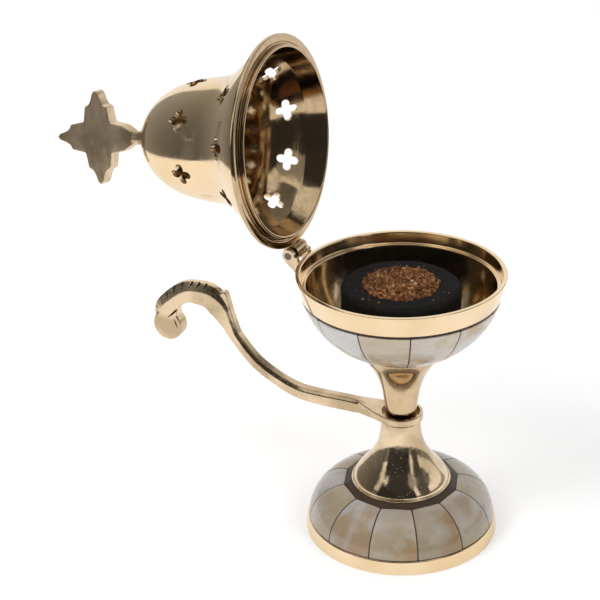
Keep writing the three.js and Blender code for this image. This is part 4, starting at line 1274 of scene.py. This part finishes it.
def charcoal_tablet():
    side_low, side_high = CHARCOAL_BASE + CHARCOAL_EDGE, CHARCOAL_TOP - CHARCOAL_EDGE
    outline = [
        (0, CHARCOAL_BASE), (CHARCOAL_RADIUS - CHARCOAL_CHAMFER, CHARCOAL_BASE),
        (CHARCOAL_RADIUS, CHARCOAL_BASE + CHARCOAL_CHAMFER),
        *samples(side_low, side_high, 14, lambda height: (CHARCOAL_RADIUS, height)),
        (CHARCOAL_RADIUS, CHARCOAL_TOP - CHARCOAL_CHAMFER),
        (CHARCOAL_RADIUS - CHARCOAL_CHAMFER, CHARCOAL_TOP),
        *samples(DISH_RADIUS + DISH_BORDER, DISH_RADIUS + DISH_LIP, 5, lambda radius: (radius, CHARCOAL_TOP)),
        *samples(DISH_RADIUS, 0, 14, lambda radius: (radius, dish_height(radius))),
    ]
    corners, faces = turned(softened(outline, CHARCOAL_EDGE), SIDES)
    rough = []
    for x, y, z in corners:
        push = CHARCOAL_RELIEF * noise.fractal(Vector((x, y, z)) * CHARCOAL_NOISE_SCALE, 1.0, 2.0, 4)
        swell = 1 + push / CHARCOAL_RADIUS - CHARCOAL_SHRINK
        rough.append((x * swell, y * swell, z + push * 0.6))
    dressed(placed("charcoal", (rough, faces)), "charcoal", "charcoal", "charcoal_tablet", crease=80)


def heap_height(x, y):
    """Top of the incense over a place on the tablet"""
    radius = hypot(x, y)
    share = min(1, radius / INCENSE_RADIUS)
    lumps = sum(height * noise.noise(Vector((x, y, level)) * scale) for height, scale, level in HEAP_LUMPS)
    rise = (INCENSE_RISE + DISH_DEPTH) * (1 - share**2)
    return dish_height(radius) + HEAP_LIFT + rise + lumps * (1 - share**4)


def grain(place, size):
    """Shape of one angular grain"""
    ball = bmesh.new()
    bmesh.ops.create_icosphere(ball, subdivisions=1, radius=1)
    angle = random.uniform(0, 6.3)
    turn = Matrix.Rotation(angle, 3, Vector((random.random(), random.random(), 1)).normalized())
    stretch = [size * random.uniform(*GRAIN_STRETCH) for _ in range(3)]
    corners = []
    for vertex in ball.verts:
        point = vertex.co * random.uniform(*GRAIN_UNEVENNESS)
        point = turn @ Vector([length * factor for length, factor in zip(point, stretch)])
        corners.append(Vector(place) + point)
    faces = [[vertex.index for vertex in face.verts] for face in ball.faces]
    ball.free()
    return corners, faces


def incense_heap():
    """Smooth heap with a skirt down to the tablet, covered with grains, and with crumbs round it"""
    rings = []
    for j in range(INCENSE_RINGS + 1):
        ring = []
        for i in range(INCENSE_SIDES):
            angle = 2 * pi * i / INCENSE_SIDES
            edge = 0.97 + 0.05 * noise.noise(Vector((*polar(1, angle), 3)) * 2.4)
            x, y = polar(INCENSE_RADIUS * edge * j / INCENSE_RINGS, angle)
            ring.append((x, y, heap_height(x, y) - HEAP_SINK))
        rings.append(ring)
    rings.append([(x, y, dish_height(hypot(x, y)) + SKIRT_LIFT) for x, y, _ in rings[-1]])
    corners, faces = lofted(rings)
    faces = faces[2:]
    tones = [HEAP_TONE] * (INCENSE_RINGS * INCENSE_SIDES) + [SKIRT_TONE] * INCENSE_SIDES

    def add_grain(place, size, tone):
        shape = grain(place, size)
        add_copy(corners, faces, shape)
        tones.extend([tone] * len(shape[1]))

    for _ in range(GRAIN_COUNT):
        radius = INCENSE_RADIUS * sqrt(random.random())
        x, y = polar(radius, random.uniform(0, 2 * pi))
        if random.random() < PALE_SHARE:
            shade = random.uniform(*PALE_TONES)
        else:
            shade = min(DARKER_TONES_END, max(0, random.gauss(*GRAIN_TONE)))
        place = (x, y, heap_height(x, y) + random.uniform(*GRAIN_LIFT))
        add_grain(place, random.uniform(*GRAIN_SIZES), shade)
    for _ in range(CRUMB_COUNT):
        radius = random.uniform(INCENSE_RADIUS, CHARCOAL_RADIUS - CRUMB_MARGIN)
        x, y = polar(radius, random.uniform(0, 2 * pi))
        place = (x, y, dish_height(radius) + CRUMB_LIFT)
        add_grain(place, random.uniform(*CRUMB_SIZES), random.uniform(*CRUMB_TONES))
    heap = linked("incense", mesh_from("incense", (corners, faces)))
    heap.matrix_world = on_axis
    marked(heap.data, "grain_tone", tones, "FACE")
    dressed(heap, "incense", "charcoal", "incense_heap", crease=30)


# Assembly

CENSER_PIECES = (foot_shell, foot_mastic, foot_tiles, cone, trumpet, handle, bowl, bowl_mastic, bowl_tiles)
for build in (*CENSER_PIECES, lid_bell, finial, charcoal_tablet, incense_heap):
    build()

KEPT_NODES = {
    "cast_brass": ("bowl_hinge_bracket", "lid_hinge_lug"),
    "steel": ("hinge_pin", "tie_bolt", "base_washer", "base_nut", "finial_nut"),
}
for slot, names in KEPT_NODES.items():
    for name in names:
        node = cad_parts[name]
        node.data.materials.clear()
        node.data.materials.append(MATERIALS[slot])
        node["tarnish"] = LUG_TARNISH if name == "lid_hinge_lug" else FITTING_TARNISH
        node["dullness"] = FITTING_DULLNESS


# Camera, as the photograph was taken

def make_camera():
    data = bpy.data.cameras.new("camera")
    data.lens = LENS
    data.sensor_width = SENSOR
    data.clip_start = 0.01
    data.clip_end = 100
    camera = linked("camera", data)
    place = on_axis @ (Vector(CAMERA_PLACE) * MM)
    target = on_axis @ (Vector(CAMERA_TARGET) * MM)
    look = (target - place).to_track_quat("-Z", "Y")
    aside = Vector(TARGET_IN_VIEW).normalized().rotation_difference(Vector((0, 0, -1)))
    camera.rotation_mode = "QUATERNION"
    camera.location = place
    camera.rotation_quaternion = look @ aside
    bpy.context.scene.camera = camera


# Surroundings and light, in metres; the world lights the object less than its white background shows

WORLD_DIFFUSE = 0.62
FLOOR_REACH = 6
FLOOR_GLOW = 0.24
WALL_COLUMNS = 24
LAMP_SIZE = 1.2
LAMP_TARGET_HEIGHT = 0.07

# Each wall has a name, two azimuths, two heights, the tone at each azimuth, and a distance from the axis
WALLS = [
    ("wall_left", (-120, -48), (0, 0.62), (0.34, 0.11), 0.42),
    ("wall_left_low", (-48, -35), (0, 0.2), (0.18, 0.2), 0.42),
    ("wall_front", (-35, 57), (0, 0.42), (0.05, 0.04), 0.45),
    ("wall_front_middle", (-22, 46), (0.42, 1.9), (0.05, 0.05), 0.45),
    ("wall_front_high", (46, 80), (0.42, 0.9), (0.35, 0.45), 0.45),
    ("wall_right_low", (57, 68), (0, 0.12), (0.25, 0.3), 0.5),
    ("wall_right", (68, 94), (0, 0.6), (0.1, 0.1), 0.5),
    ("wall_back_low", (94, 150), (0, 0.13), (0.2, 0.4), 0.6),
    ("wall_back", (94, 178), (0.34, 1.3), (0.14, 0.3), 0.6),
]


def make_world():
    world = bpy.data.worlds.new("studio")
    bpy.context.scene.world = world
    graph = Graph(world)
    background = graph.add("ShaderNodeBackground")
    graph.put((1, 1, 1), background.inputs["Color"])
    graph.put(graph.by_ray(WORLD_DIFFUSE, 1), background.inputs["Strength"])
    graph.put(background.outputs["Background"], graph.add("ShaderNodeOutputWorld").inputs["Surface"])


def make_floor():
    corners = [(x * FLOOR_REACH, y * FLOOR_REACH, 0) for x, y in ((-1, -1), (1, -1), (1, 1), (-1, 1))]
    floor = linked("floor", mesh_from("floor", (corners, [(0, 1, 2, 3)]), unit=1))
    finish = Finish("floor")
    finish.set(
        Base_Color=(0.9, 0.9, 0.9),
        Roughness=0.9,
        Specular_IOR_Level=0.1,
        Emission_Color=(1, 1, 1),
        Emission_Strength=finish.by_ray(0, FLOOR_GLOW),
    )
    floor.data.materials.append(finish.material)


def wall(name, azimuths, heights, tones, distance):
    """Upright card that shows only in reflections; azimuths are in degrees from -Y towards +X"""
    corners, shades = [], []
    for share in samples(0, 1, WALL_COLUMNS):
        turn = radians(azimuths[0] + (azimuths[1] - azimuths[0]) * share)
        x, y = AXIS_X + distance * sin(turn), -distance * cos(turn)
        corners += [(x, y, height) for height in heights]
        shades += [tones[0] + (tones[1] - tones[0]) * share] * 2
    faces = [(2 * i, 2 * i + 2, 2 * i + 3, 2 * i + 1) for i in range(WALL_COLUMNS)]
    thing = linked(name, mesh_from(name, (corners, faces), unit=1))
    marked(thing.data, "tone", shades)
    material = bpy.data.materials.new(name)
    graph = Graph(material)
    emission = graph.add("ShaderNodeEmission")
    graph.put(graph.attribute("tone", "GEOMETRY"), emission.inputs["Strength"])
    graph.put(emission.outputs["Emission"], graph.add("ShaderNodeOutputMaterial").inputs["Surface"])
    thing.data.materials.append(material)
    for ray in ("camera", "diffuse", "transmission", "volume_scatter", "shadow"):
        setattr(thing, f"visible_{ray}", False)


def lamp(name, place, power):
    """Soft lamp that points at the middle of the object"""
    data = bpy.data.lights.new(name, "AREA")
    data.shape = "DISK"
    data.size = LAMP_SIZE
    data.energy = power
    thing = linked(name, data)
    thing.location = place
    thing.rotation_mode = "QUATERNION"
    target = Vector((AXIS_X, 0, LAMP_TARGET_HEIGHT))
    thing.rotation_quaternion = (target - Vector(place)).to_track_quat("-Z", "Y")
    thing.visible_glossy = False


make_camera()
make_world()
make_floor()
for card in WALLS:
    wall(*card)
lamp("key", (-1.0, -1.4, 1.9), 22)
lamp("fill", (1.6, -0.6, 1.2), 9)

scene = bpy.context.scene
scene.view_settings.view_transform = "Standard"
